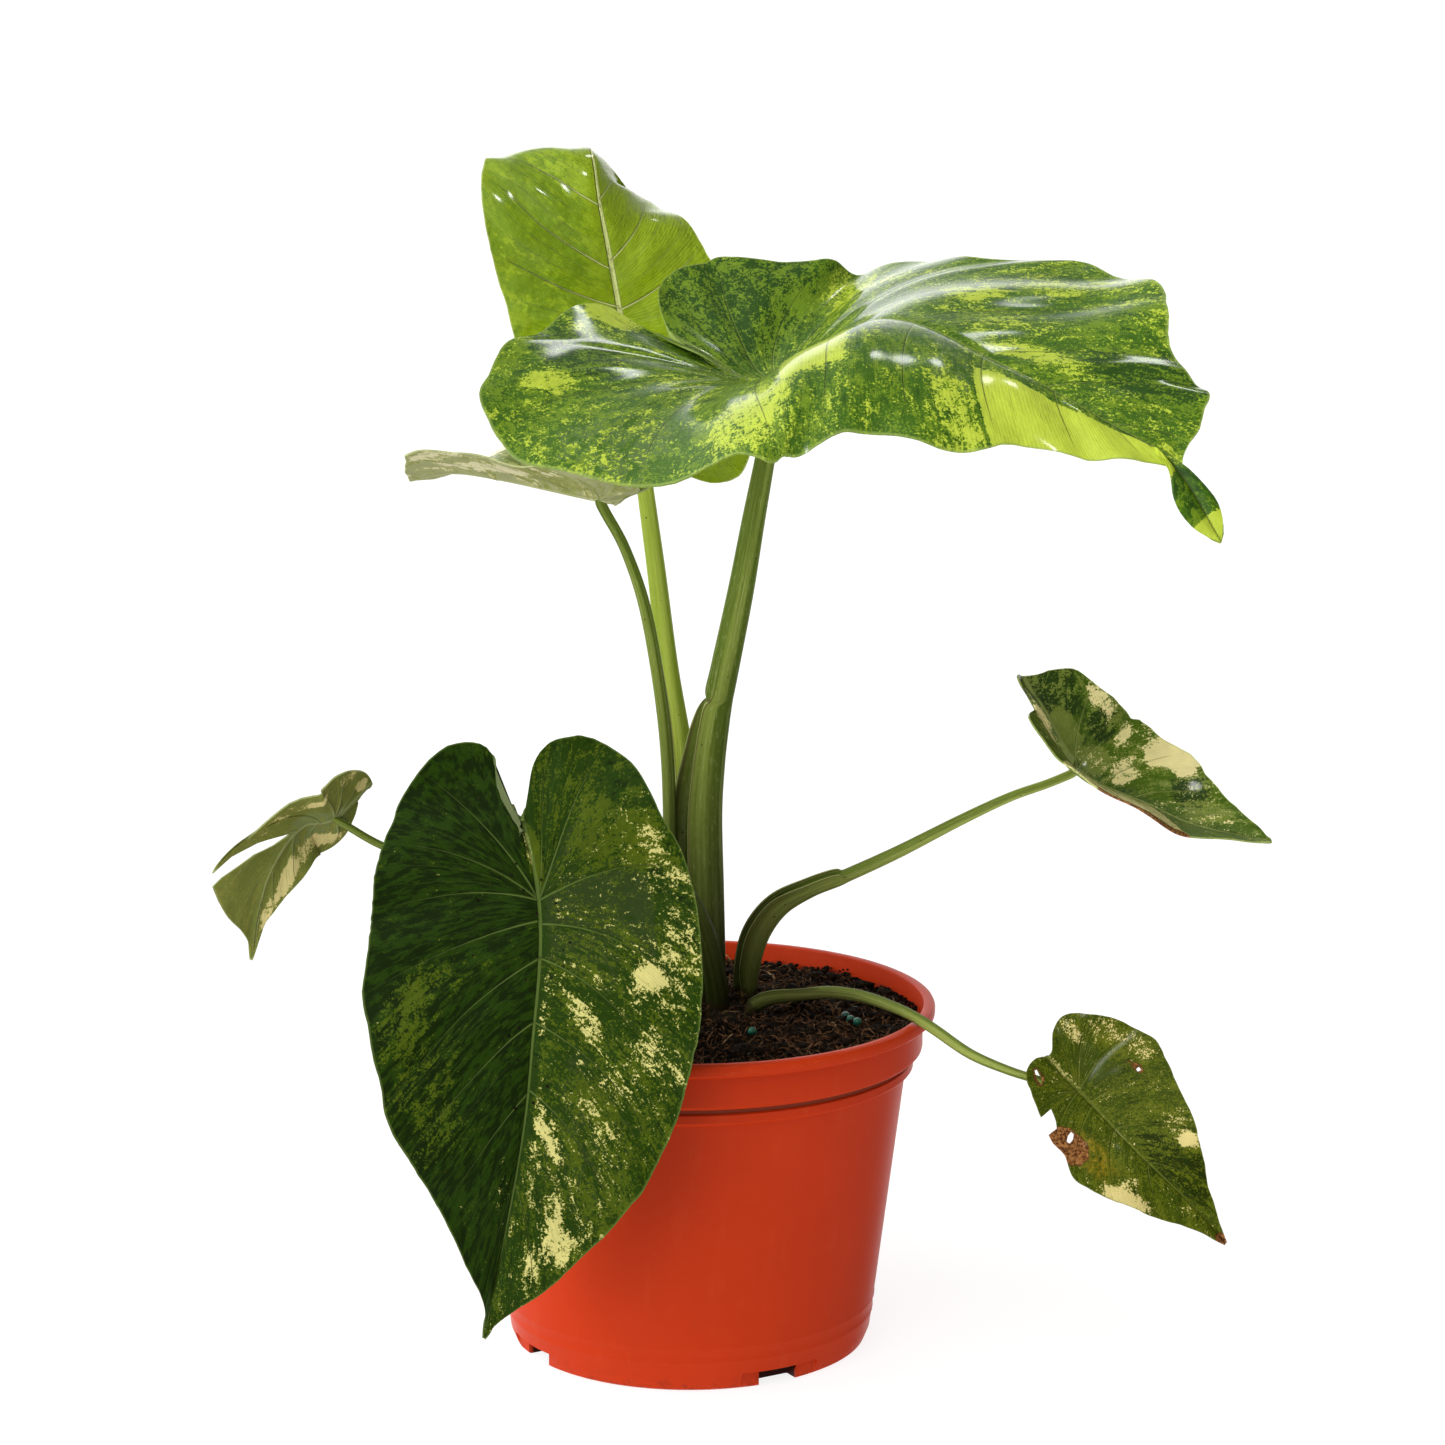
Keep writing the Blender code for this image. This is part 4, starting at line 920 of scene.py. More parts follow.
@dataclass
class Blade:
    """One heart-shaped blade.

    Each station is a place on the midrib, the way the upper side faces there, the angles in degrees
    by which the left and the right half rise, and how much that angle grows with each millimetre.
    The stalk meets the blade at the station numbered joint. Veins are given for each half as the
    distance along the midrib where one starts and the outline's point where it ends. Holes are
    flat outlines. The skin is how far the upper face stands over the plain surface. The groove
    along the midrib is a depth and a half width, and the swells under the blade are the half
    widths of the midrib's and the veins', and how high the veins' are against the midrib's.
    """

    name: str
    stations: list
    joint: int
    right: list
    left: list
    right_veins: list
    left_veins: list
    finish: LeafFinish
    wave: tuple = (0.0, 40.0, 0.0)
    holes: tuple = ()
    reach: float = 1.0
    steps: int = 16
    wobble: float = 0.7
    marks: tuple = ()
    bow: float = 0.35
    quilt: float = 0.5
    puff: float = 0.035
    ripple: float = 0.25
    rows: int = 14
    columns: int = 26
    thickness: float = 0.55
    rib: float = 1.9
    skin: float = 0.28
    groove: tuple = (0.35, 1.6)
    swells: tuple = (1.3, 0.7, 0.55)
    finer: int = 8
    cut: float = 3.0
    weld: float = 0.03
    sharp: float = 55.0

    def __post_init__(self) -> None:
        """Works out the midrib's line."""
        rows = [(*at, *facing, *fold) for at, facing, fold in self.stations]
        self.line = smooth_through(rows, self.steps)
        self.run = arc_lengths(self.line[:, :3])
        self.run = self.run - self.run[self.steps * self.joint]

    def midrib(self, along: np.ndarray) -> tuple[np.ndarray, ...]:
        """Returns places, directions, right sides, upper sides and folds at distances along."""
        at = np.clip(along, self.run[0], self.run[-1])
        row = np.stack([np.interp(at, self.run, c) for c in self.line.T], axis=-1)
        ends = []
        for side in (-self.reach, self.reach):
            near = np.clip(at + side, self.run[0], self.run[-1])
            ends.append(np.stack([np.interp(near, self.run, c) for c in self.line.T[:3]], axis=-1))
        ahead = unit(ends[1] - ends[0])
        facing = row[..., 3:6]
        upper = unit(facing - ahead * np.sum(ahead * facing, axis=-1, keepdims=True))
        place = row[..., :3] + ahead * (along - at)[..., None]
        return place, ahead, np.cross(ahead, upper), upper, np.radians(row[..., 6:])

    def points(
        self, across: np.ndarray, along: np.ndarray, share: np.ndarray | float = 0.0,
        lift: np.ndarray | float = 0.0,
    ) -> np.ndarray:
        """Bends points of the flat outline into space.

        Args:
            across: Distances from the midrib.
            along: Distances from the joint.
            share: Shares of the way from the midrib to the margin.
            lift: How far each point stands above the plain surface.

        Returns:
            The places in space.
        """
        across, along = np.asarray(across, float), np.asarray(along, float)
        place, _, right, upper, fold = self.midrib(along)
        angle = np.where(across >= 0, fold[..., 1], fold[..., 0])
        curl = np.where(across >= 0, fold[..., 3], fold[..., 2])
        width = np.abs(across)
        flat = np.abs(curl) < 1e-6
        safe = np.where(flat, 1.0, curl)
        out = np.where(
            flat, width * np.cos(angle), (np.sin(angle + safe * width) - np.sin(angle)) / safe
        )
        rise = np.where(
            flat, width * np.sin(angle), (np.cos(angle) - np.cos(angle + safe * width)) / safe
        )
        height, length, start = self.wave
        rise = rise + height * share**2 * np.sin(2 * math.pi * (along - start) / length)
        rise = rise + lift
        return place + right * (np.copysign(1, across) * out)[..., None] + upper * rise[..., None]

    def half_grid(self, half: Half) -> HalfGrid:
        """Lays a half's vertices out in rows that follow its veins.

        Args:
            half: Which half.

        Returns:
            The half's grid.
        """
        outline, veins = (
            (self.right, self.right_veins) if half is Half.RIGHT else (self.left, self.left_veins)
        )
        fine = smooth_through(outline, self.finer)
        number = np.arange(len(veins) + 2)
        rows = np.linspace(0, number[-1], self.rows * number[-1] + 1)
        ends = np.interp(rows, number, [0, *[end for _, end in veins], len(outline) - 1])
        ends = ends * self.finer
        margin = np.stack([np.interp(ends, np.arange(len(fine)), c) for c in fine.T], axis=1)
        calm = np.clip(rows / 0.8, 0, 1) * np.clip((number[-1] - rows) / 0.7, 0, 1)
        seed = 3.0 if half is Half.RIGHT else 11.0
        uneven = [
            noise_at(x / 9, y / 9, seed) + 0.4 * noise_at(x / 3, y / 3, seed) for x, y in margin
        ]
        outward = unit(margin + np.array([np.copysign(0.01, margin[:, 0]).mean(), 0.0]))
        margin = margin + outward * (self.wobble * calm * np.array(uneven))[:, None]
        foot = np.zeros_like(margin)
        foot[:, 1] = np.interp(rows, number[1:], [*[start for start, _ in veins], fine[-1, 1]])
        foot[rows < 1] = np.clip(1 - rows[rows < 1] / 0.85, 0, 1)[:, None] * fine[0]
        share = np.linspace(0, 1, self.columns + 1)[None, :]
        length = np.linalg.norm(margin - foot, axis=1)[:, None]
        across = foot[:, :1] + (margin - foot)[:, :1] * share
        along = foot[:, 1:] + (margin - foot)[:, 1:] * share
        lean = self.bow * np.minimum(rows, 1.0)[:, None] ** 2
        along = along + lean * (share**2 - share) * length
        step = 1.0 / self.rows
        gap = np.hypot(np.gradient(across, step, axis=0), np.gradient(along, step, axis=0))
        ones = np.ones_like(across)
        return HalfGrid(
            half, across, along, share * ones, rows[:, None] * ones, gap, share * length * ones
        )

    def lift(self, grid: HalfGrid) -> np.ndarray:
        """Returns how far a half swells between its veins and ripples at its margin."""
        swell = np.sin(math.pi * grid.vein) ** 2 * np.sin(math.pi * grid.share) ** 0.8
        height = np.minimum(self.quilt, grid.gap * self.puff)
        turn = 0.0 if grid.half is Half.RIGHT else 2.0
        ripple = np.sin(grid.vein * 5.1 + turn) * np.sin(grid.vein * 2.3 + 1.0 + turn)
        depth, width = self.groove
        groove = depth * np.exp(-((grid.across / width) ** 2)) * (grid.share < 1)
        return height * swell + self.ripple * grid.share**4 * ripple - groove

    def layers(self, grid: HalfGrid) -> dict[str, np.ndarray]:
        """Returns the UV maps that the finish reads, for each vertex of a half."""
        marks = {mark: np.zeros_like(grid.across) for mark in Mark}
        for spot in self.marks:
            marks[spot.mark] = marks[spot.mark] + spot.strength(grid)
        sign = 1.0 if grid.half is Half.RIGHT else -1.0
        across = sign * np.maximum(np.abs(grid.across), 0.001)
        return {
            "flat": np.stack([across, grid.along], axis=-1),
            "vein": np.stack([grid.run, grid.vein], axis=-1),
            "place": np.stack([grid.share, grid.gap], axis=-1),
            "marks": np.stack([marks[Mark.CREAM], marks[Mark.TONE]], axis=-1),
            "spoil": np.stack([marks[Mark.BROWN], marks[Mark.HALO]], axis=-1),
            "mottle": np.stack([marks[Mark.PALE], marks[Mark.PALE] * 0], axis=-1),
        }

    def thickening(self, grid: HalfGrid) -> np.ndarray:
        """Returns how far each vertex is thickened into a rib, from 0 to 1."""
        rib_width, vein_width, vein_height = self.swells
        taper = np.clip(1 - grid.along / self.run[-1], 0.1, 1)
        rib = np.exp(-((grid.across / rib_width) ** 2)) * taper
        off = np.abs(grid.vein - np.round(grid.vein)) * grid.gap
        inner = (grid.vein > 0.6) & (grid.vein < grid.vein.max() - 0.4)
        side = np.exp(-((off / vein_width) ** 2)) * (1 - grid.share) * vein_height * inner
        return np.clip(np.maximum(rib, side) * (grid.share < 0.99), 0, 1)

    def hole_cutter(self) -> bpy.types.Object:
        """Makes one prism through the blade for each tear and hole."""
        bm = bmesh.new()
        for outline in self.holes:
            flat = np.array(outline, float)
            places = self.points(flat[:, 0], flat[:, 1])
            right = self.points(flat[:, 0] + 1, flat[:, 1]) - places
            ahead = self.points(flat[:, 0], flat[:, 1] + 1) - places
            normals = unit(np.cross(ahead, right)) * self.cut
            face = bm.faces.new([bm.verts.new(at) for at in places - normals])
            lid = bmesh.ops.extrude_face_region(bm, geom=[face])["geom"]
            for v in [v for v in lid if isinstance(v, bmesh.types.BMVert)]:
                near = int(np.argmin(np.linalg.norm(places - normals - np.array(v.co), axis=1)))
                v.co = Vector(places[near] + normals[near])
        bmesh.ops.recalc_face_normals(bm, faces=bm.faces)
        return add_piece(bm, f"{self.name}_cutter", [])

    def build(self) -> None:
        """Makes the blade."""
        bm = bmesh.new()
        weight = bm.verts.layers.deform.verify()
        last = 0.0
        for half in Half:
            grid = self.half_grid(half)
            last = max(last, grid.vein.max())
            lift = self.lift(grid) + self.skin
            places = self.points(grid.across, grid.along, grid.share, lift)
            thick = self.thickening(grid)
            for v, at in placed_grid(bm, places, self.layers(grid)).items():
                v[weight][0] = float(thick[at])
        bmesh.ops.remove_doubles(bm, verts=bm.verts, dist=self.weld)
        bmesh.ops.recalc_face_normals(bm, faces=bm.faces)
        bm.faces.ensure_lookup_table()
        _, _, _, upper, _ = self.midrib(np.array([self.run[-1] * 0.4]))
        if sum(f.normal.dot(Vector(upper[0])) * f.calc_area() for f in bm.faces) < 0:
            bmesh.ops.reverse_faces(bm, faces=bm.faces)
        finishes = [self.finish.build(face, last) for face in Face]
        piece = add_piece(bm, f"{self.name}_leaf", finishes, self.sharp)
        piece.vertex_groups.new(name="ribs")
        solid = piece.modifiers.new("thickness", "SOLIDIFY")
        solid.thickness = self.rib * MM
        solid.offset = -1.0
        solid.vertex_group = "ribs"
        solid.thickness_vertex_group = self.thickness / self.rib
        solid.material_offset = 1
        apply_modifiers(piece, [self.hole_cutter()] if self.holes else [], self.sharp)
        attach(piece, self.name, self.name)


@dataclass
class Stalk:
    """One leaf stalk.

    Each point is x, y, z, radius, sheath share, front wing and back wing, and one with only the
    first four is round. Each row of the end is how far it lies under the blade, its share of the
    last radius and how far it still points the stalk's own way. The edges are where the sheath's
    two edges lie among the sides.
    """

    name: str
    points: list
    opening: tuple
    blade: Blade
    finish: StalkFinish
    steps: int = 8
    sides: int = 14
    fineness: int = 4
    end: tuple = ((6.0, 1.0, 0.85), (2.6, 1.0, 0.6), (1.0, 0.8, 0.3), (0.35, 0.4, 0.0))
    edges: tuple = (4.5, 9.5)

    def section(self, radius: float, share: float, front: float, back: float) -> np.ndarray:
        """Returns the outline across the stalk, from a circle (share 0) to an open sheath (1)."""
        r = radius
        rim, wall = 0.75 * r, 0.2 * r
        sheath = np.array([
            (-r, 0), (-0.71 * r, 0.71 * r), (0, r), (front / 2, 0.82 * r), (front, rim),
            (front - 0.2, rim - wall), (0.45 * front, r / 2), (0.2 * r, 0), (0.45 * back, -r / 2),
            (back - 0.2, wall - rim), (back, -rim), (back / 2, -0.82 * r), (0, -r),
            (-0.71 * r, -0.71 * r),
        ])
        turn = math.pi - 2 * math.pi * np.arange(self.sides) / self.sides
        ring = r * np.stack([np.cos(turn), np.sin(turn)], axis=1)
        mixed = ring + share * (sheath - ring)
        closed = smooth_through(np.concatenate([mixed[-2:], mixed, mixed[:3]]), self.fineness)
        return closed[2 * self.fineness:(2 + self.sides) * self.fineness + 1]

    def route(self) -> np.ndarray:
        """Returns the rows along the stalk, up to the underside of its blade."""
        rows = [(*p, 0.0, p[3], p[3]) if len(p) == 4 else p for p in self.points]
        place, _, _, upper, _ = self.blade.midrib(np.array([0.0]))
        place, upper, last = place[0], upper[0], rows[-1][3]
        lead = unit(place - np.array(rows[-1][:3]))
        for depth, size, lean in self.end:
            back = unit(lead * lean + upper * (1 - lean))
            rows.append((*(place - back * depth), last * size, 0.0, last, last))
        return smooth_through(rows, self.steps)

    def build(self) -> None:
        """Makes the stalk."""
        rows = self.route()
        ahead = np.gradient(rows[:, :3], axis=0)
        ahead[0] = (0.0, 0.0, 1.0)
        ahead = unit(ahead)
        opening = np.array(self.opening)
        u = unit(opening - ahead * (ahead @ opening)[:, None])
        v = np.cross(ahead, u)
        shapes = np.array([self.section(*row[3:]) for row in rows])
        places = rows[:, None, :3] + u[:, None] * shapes[..., :1] + v[:, None] * shapes[..., 1:]
        around = np.linspace(0, 1, shapes.shape[1])[None, :] * np.ones((len(rows), 1))
        run = arc_lengths(rows[:, :3])[:, None] * np.ones_like(around)
        wings = sum(np.exp(-(((around * self.sides - at) / 0.55) ** 2)) for at in self.edges)
        edge = wings * np.clip(rows[:, 4:5] * 2.0, 0, 1)
        foot = np.exp(-run / 5.0)
        bm = bmesh.new()
        placed_grid(bm, places, {
            "skin": np.stack([around, run], axis=-1), "edge": np.stack([edge, foot], axis=-1),
        })
        bmesh.ops.remove_doubles(bm, verts=bm.verts, dist=0.004)
        bmesh.ops.holes_fill(bm, edges=[e for e in bm.edges if e.is_boundary], sides=0)
        bmesh.ops.recalc_face_normals(bm, faces=bm.faces)
        piece = add_piece(bm, f"{self.name}_green", [self.finish.build()], 70.0)
        attach(piece, "stalk_green", self.name)


@dataclass
class Pot:
    """The nursery pot: a turned shell with a lip, rim band, double step and drainage notches.

    The beads are two thin rings low on the wall, as heights and how far out. The pocket and the
    notch are a width and the radius from which each goes outwards.
    """

    height: float = 110.0
    rim: float = 77.5
    mouth: float = 73.6
    band: float = 73.6
    wall_top: float = 68.3
    base: float = 57.5
    foot: float = 56.0
    wall: float = 1.8
    floor: float = 3.0
    lip: float = 4.0
    band_bottom: float = 95.5
    step_bottom: float = 88.5
    chine: float = 4.5
    steps: int = 180
    drains: int = 4
    first_drain: float = 30.0
    pocket: tuple = (27.0, 54.8)
    notch: tuple = (13.5, 49.0)
    notch_height: float = 5.5
    beads: tuple = (
        (9.0, 0.0), (9.6, 0.25), (10.2, 0.25), (10.8, 0.0), (13.6, 0.0), (14.2, 0.2), (14.8, 0.2),
        (15.4, 0.0),
    )
    sharp: float = 30.0
    finish: PotFinish = field(default_factory=PotFinish)

    def profile(self) -> list[tuple[float, float]]:
        """Returns the wall from the middle of the underside, up the outside and down the inside."""
        top, step = self.height, self.wall_top + 2.4
        inner = self.wall_top - self.wall
        slope = (self.wall_top - self.base) / (self.step_bottom - self.chine)
        low = [(self.base + slope * (z - self.chine) + out, z) for z, out in self.beads]
        return [
            (0, 2.2), (30, 2.2), (31, 1.9), (33, 1.9), (34, 2.2), (48, 2.2), (49, 0),
            (self.foot - 1.5, 0), (self.foot, 0.8), (self.base, self.chine), *low,
            (self.wall_top - 0.1, self.step_bottom - 0.6), (self.wall_top, self.step_bottom),
            (step - 0.3, self.step_bottom + 1.2), (step, self.step_bottom + 1.6),
            (step, self.band_bottom - 3.0), (step - 0.9, self.band_bottom - 2.3),
            (step - 0.9, self.band_bottom - 1.7), (self.band - 0.9, self.band_bottom - 0.4),
            (self.band - 0.2, self.band_bottom + 0.3), (self.band, self.band_bottom + 1.2),
            (self.band, top - self.lip - 1.2), (self.band + 0.5, top - self.lip - 0.7),
            (self.rim - 0.8, top - self.lip), (self.rim - 0.1, top - self.lip + 0.7),
            (self.rim, top - self.lip + 1.4), (self.rim, top - 1.2), (self.rim - 0.4, top - 0.4),
            (self.rim - 1.2, top), (self.mouth + 1.0, top), (self.mouth + 0.3, top - 0.3),
            (self.mouth, top - 1.0), (self.mouth - 1.2, self.band_bottom),
            (inner + 0.6, self.step_bottom + 1.0), (inner, self.step_bottom - 1.0),
            (self.base - self.wall, self.chine + 1), (self.base - self.wall - 1.5, self.floor),
            (0, self.floor),
        ]

    def cutter(self, name: str, width: float, inner: float) -> bpy.types.Object:
        """Makes one bevelled box for each drainage place, from radius inner outwards."""
        bm = bmesh.new()
        deep, tall = 20.0, self.notch_height + 3.0
        for k in range(self.drains):
            box = bmesh.ops.create_cube(bm, size=1.0)["verts"]
            bmesh.ops.scale(bm, vec=(width, deep, tall), verts=box)
            edges = list({e for v in box for e in v.link_edges})
            made = bmesh.ops.bevel(
                bm, geom=edges, offset=0.6, offset_type="OFFSET", segments=3, profile=0.5,
                affect="EDGES", material=-1,
            )
            box = list({v for f in made["faces"] for v in f.verts})
            lift = self.notch_height - tall / 2
            bmesh.ops.translate(bm, vec=(0, -(inner + deep / 2), lift), verts=box)
            turn = math.radians(self.first_drain + 360.0 * k / self.drains)
            bmesh.ops.rotate(bm, cent=(0, 0, 0), matrix=Matrix.Rotation(turn, 3, "Z"), verts=box)
        return add_piece(bm, name, [])

    def build(self) -> None:
        """Makes the pot."""
        bm = bmesh.new()
        verts = [bm.verts.new((r, 0, z)) for r, z in self.profile()]
        edges = [bm.edges.new(pair) for pair in zip(verts, verts[1:])]
        bmesh.ops.spin(
            bm, geom=verts + edges, axis=(0, 0, 1), cent=(0, 0, 0), steps=self.steps,
            angle=2 * math.pi, use_merge=True,
        )
        bmesh.ops.remove_doubles(bm, verts=bm.verts, dist=0.01)
        bmesh.ops.recalc_face_normals(bm, faces=bm.faces)
        wall = bm.loops.layers.uv.new("wall")
        for face in bm.faces:
            middle = face.calc_center_median()
            inside = middle.z > self.floor + 0.1 and face.normal.dot(middle.xy.to_3d()) < 0
            for loop in face.loops:
                loop[wall].uv = (1.0 if inside else 0.0, 0.0)
        piece = add_piece(bm, "pot_shell", [self.finish.build()], self.sharp)
        cutters = [
            self.cutter("pocket_cutter", *self.pocket), self.cutter("notch_cutter", *self.notch),
        ]
        apply_modifiers(piece, cutters, self.sharp)
        attach(piece, "pot", "pot")


@dataclass
class PottingMix:
    """The mix: a lumpy body with a well for the crown, strewn with crumbs, fibres and rootlets.

    The inner wall is what it fills: radii and heights, from under the rim to the floor.
    """

    edge_height: float = 103.8
    crown_height: float = 106.4
    well: float = 19.3
    well_bottom: float = 85.0
    centre: tuple = (7.0, 3.0)
    outer: float = 71.8
    lump: float = 2.8
    steps: int = 150
    rings: int = 44
    crumbs: int = 1300
    fibres: int = 2700
    rootlets: int = 60
    perlite: int = 22
    fringe: int = 260
    inner_wall: tuple = ((71.8, 95.9), (66.0, 88.5), (55.2, 5.7), (53.5, 3.3), (0.0, 3.3))
    finish: EarthFinish = EarthFinish("potting_mix")

    def height(self, x: float, y: float) -> float:
        """Returns the height of the mix's top at a place."""
        away = math.hypot(x - self.centre[0], y - self.centre[1])
        share = min(max((away - self.well) / (self.outer - self.well), 0.0), 1.0)
        level = self.crown_height + (self.edge_height - self.crown_height) * share
        fade = min(1.0, (1 - share) * 8) * min(1.0, share * 8 + 0.15)
        big = noise_at(x / 9, y / 9, 1.7)
        mid = noise_at(x / 3.4, y / 3.4, 5.2)
        small = noise_at(x / 1.5, y / 1.5, 8.9)
        return level + fade * self.lump * (0.6 * big + 0.55 * mid + 0.35 * small)

    def body(self) -> bmesh.types.BMesh:
        """Returns the mix's own mesh."""
        cx, cy = self.centre
        rows = [(cx, cy, 0.0, self.well_bottom), (cx, cy, self.well, self.well_bottom)]
        first = len(rows)
        for k in range(self.rings + 1):
            t = k / self.rings
            radius = self.well + (self.outer - self.well) * t
            rows.append((cx * (1 - t), cy * (1 - t), radius, 0.0))
        places = rings(rows + [(0, 0, *low) for low in self.inner_wall], self.steps)
        for ring in places[first:len(rows)]:
            ring[:, 2] = [self.height(x, y) for x, y in ring[:, :2]]
        bm = bmesh.new()
        placed_grid(bm, places)
        bmesh.ops.remove_doubles(bm, verts=bm.verts, dist=0.02)
        bmesh.ops.recalc_face_normals(bm, faces=bm.faces)
        return bm

    def scatter(self, rng: random.Random, margin: float) -> tuple[float, float]:
        """Returns a random place on the mix, with even spread."""
        radius = (self.outer - margin) * math.sqrt(rng.random())
        turn = rng.uniform(0, 2 * math.pi)
        return radius * math.cos(turn), radius * math.sin(turn)

    def lumps(
        self, count: int, sizes: tuple[float, float], seed: int, detail: int
    ) -> bmesh.types.BMesh:
        """Strews irregular lumps over the mix.

        Args:
            count: How many.
            sizes: The smallest and the largest radius.
            seed: The random seed.
            detail: Subdivisions of each lump.

        Returns:
            The mesh.
        """
        rng = random.Random(seed)
        bm = bmesh.new()
        for _ in range(count):
            size = sizes[0] + (sizes[1] - sizes[0]) * rng.random() ** 2.2
            x, y = self.scatter(rng, size + 0.6)
            verts = add_lump(bm, size, detail, 0.45, 1.3 / size, (x, y, seed))
            flat = Vector((rng.uniform(0.8, 1.5), rng.uniform(0.6, 1.0), rng.uniform(0.4, 0.9)))
            bmesh.ops.scale(bm, vec=flat, verts=verts)
            turn = Matrix.Rotation(rng.uniform(0, 6.3), 3, "Z")
            turn = turn @ Matrix.Rotation(rng.uniform(-0.6, 0.6), 3, "X")
            bmesh.ops.rotate(bm, cent=(0, 0, 0), matrix=turn, verts=verts)
            bmesh.ops.translate(bm, vec=(x, y, self.height(x, y) + size * 0.2), verts=verts)
        return bm

    def rim_lumps(self, seed: int) -> bmesh.types.BMesh:
        """Returns crumbs that cling to the pot's wall above the mix."""
        rng = random.Random(seed)
        bm = bmesh.new()
        for _ in range(self.fringe):
            turn = rng.uniform(0, 2 * math.pi)
            crowd = 0.5 + noise_at(4 * math.cos(turn), 4 * math.sin(turn), 3.0)
            size = rng.uniform(0.4, 1.0)
            rise = max(0.0, crowd) * 4.6 * rng.random()
            verts = add_lump(bm, size, 1, 0.5, 1.3 / size, (turn * 9, rise, seed))
            radius = self.outer - 0.1 - size * 0.3
            at = (radius * math.cos(turn), radius * math.sin(turn), self.edge_height + rise)
            bmesh.ops.translate(bm, vec=at, verts=verts)
        return bm

    def threads(
        self, count: int, lengths: tuple[float, float], radius: float, seed: int, arch: float
    ) -> bmesh.types.BMesh:
        """Lays thin curved threads over the mix.

        Args:
            count: How many.
            lengths: The shortest and the longest.
            radius: Their radius in the middle.
            seed: The random seed.
            arch: How high they may arch.

        Returns:
            The mesh.
        """
        rng = random.Random(seed)
        bm = bmesh.new()
        joints, sides = 5, 3
        for _ in range(count):
            x, y = self.scatter(rng, 2.0)
            heading, bend = rng.uniform(0, 6.3), rng.uniform(-0.5, 0.5)
            step = rng.uniform(*lengths) / joints
            rise = rng.uniform(0.2, arch)
            thick = radius * rng.uniform(0.6, 1.4)
            path = []
            for k in range(joints + 1):
                if math.hypot(x, y) < self.outer - 1.0:
                    spot = (x, y)
                up = self.height(*spot) + rise * math.sin(math.pi * k / joints) - 0.1
                path.append((*spot, up))
                heading += bend + rng.uniform(-0.5, 0.5)
                x, y = x + step * math.cos(heading), y + step * math.sin(heading)
            path = np.array(path)
            ahead = unit(np.gradient(path, axis=0) + 1e-6)
            side = unit(np.cross(ahead, (0, 0, 1)) + 1e-6)
            up = np.cross(side, ahead)
            turn = 2 * math.pi * np.arange(sides + 1) / sides
            size = thick * np.sin(math.pi * np.linspace(0.12, 0.9, joints + 1))[:, None, None]
            ring = side[:, None] * np.cos(turn)[:, None] + up[:, None] * np.sin(turn)[:, None]
            placed_grid(bm, path[:, None] + ring * size)
        bmesh.ops.remove_doubles(bm, verts=bm.verts, dist=0.001)
        bmesh.ops.holes_fill(bm, edges=[e for e in bm.edges if e.is_boundary], sides=0)
        bmesh.ops.recalc_face_normals(bm, faces=bm.faces)
        return bm

    def build(self) -> None:
        """Makes the mix and what lies on it."""
        body = add_piece(self.body(), "mix_body", [self.finish.build()], 60.0)
        attach(body, "potting_mix", "soil")
        for name, bm, finish in (
            ("mix_crumbs", self.lumps(self.crumbs, (0.5, 2.9), 3, 1),
             EarthFinish("crumb_earth", srgb(4, 3, 2), srgb(64, 44, 28), 1.1)),
            ("mix_fringe", self.rim_lumps(15),
             EarthFinish("fringe_earth", srgb(14, 9, 6), srgb(58, 38, 24), 1.1)),
            ("mix_fibres", self.threads(self.fibres, (3.0, 10.0), 0.24, 5, 1.8),
             FibreFinish("coir_fibre", srgb(22, 14, 9), srgb(112, 78, 52))),
            ("mix_rootlets", self.threads(self.rootlets, (8.0, 20.0), 0.16, 9, 2.2),
             FibreFinish("rootlet_skin", srgb(98, 72, 46), srgb(176, 146, 104), 0.6)),
            ("mix_perlite", self.lumps(self.perlite, (0.5, 1.3), 12, 2),
             FibreFinish("perlite_grain", srgb(170, 162, 148), srgb(238, 234, 224), 0.8)),
        ):
            attach(add_piece(bm, name, [finish.build()], 80.0), "potting_mix")


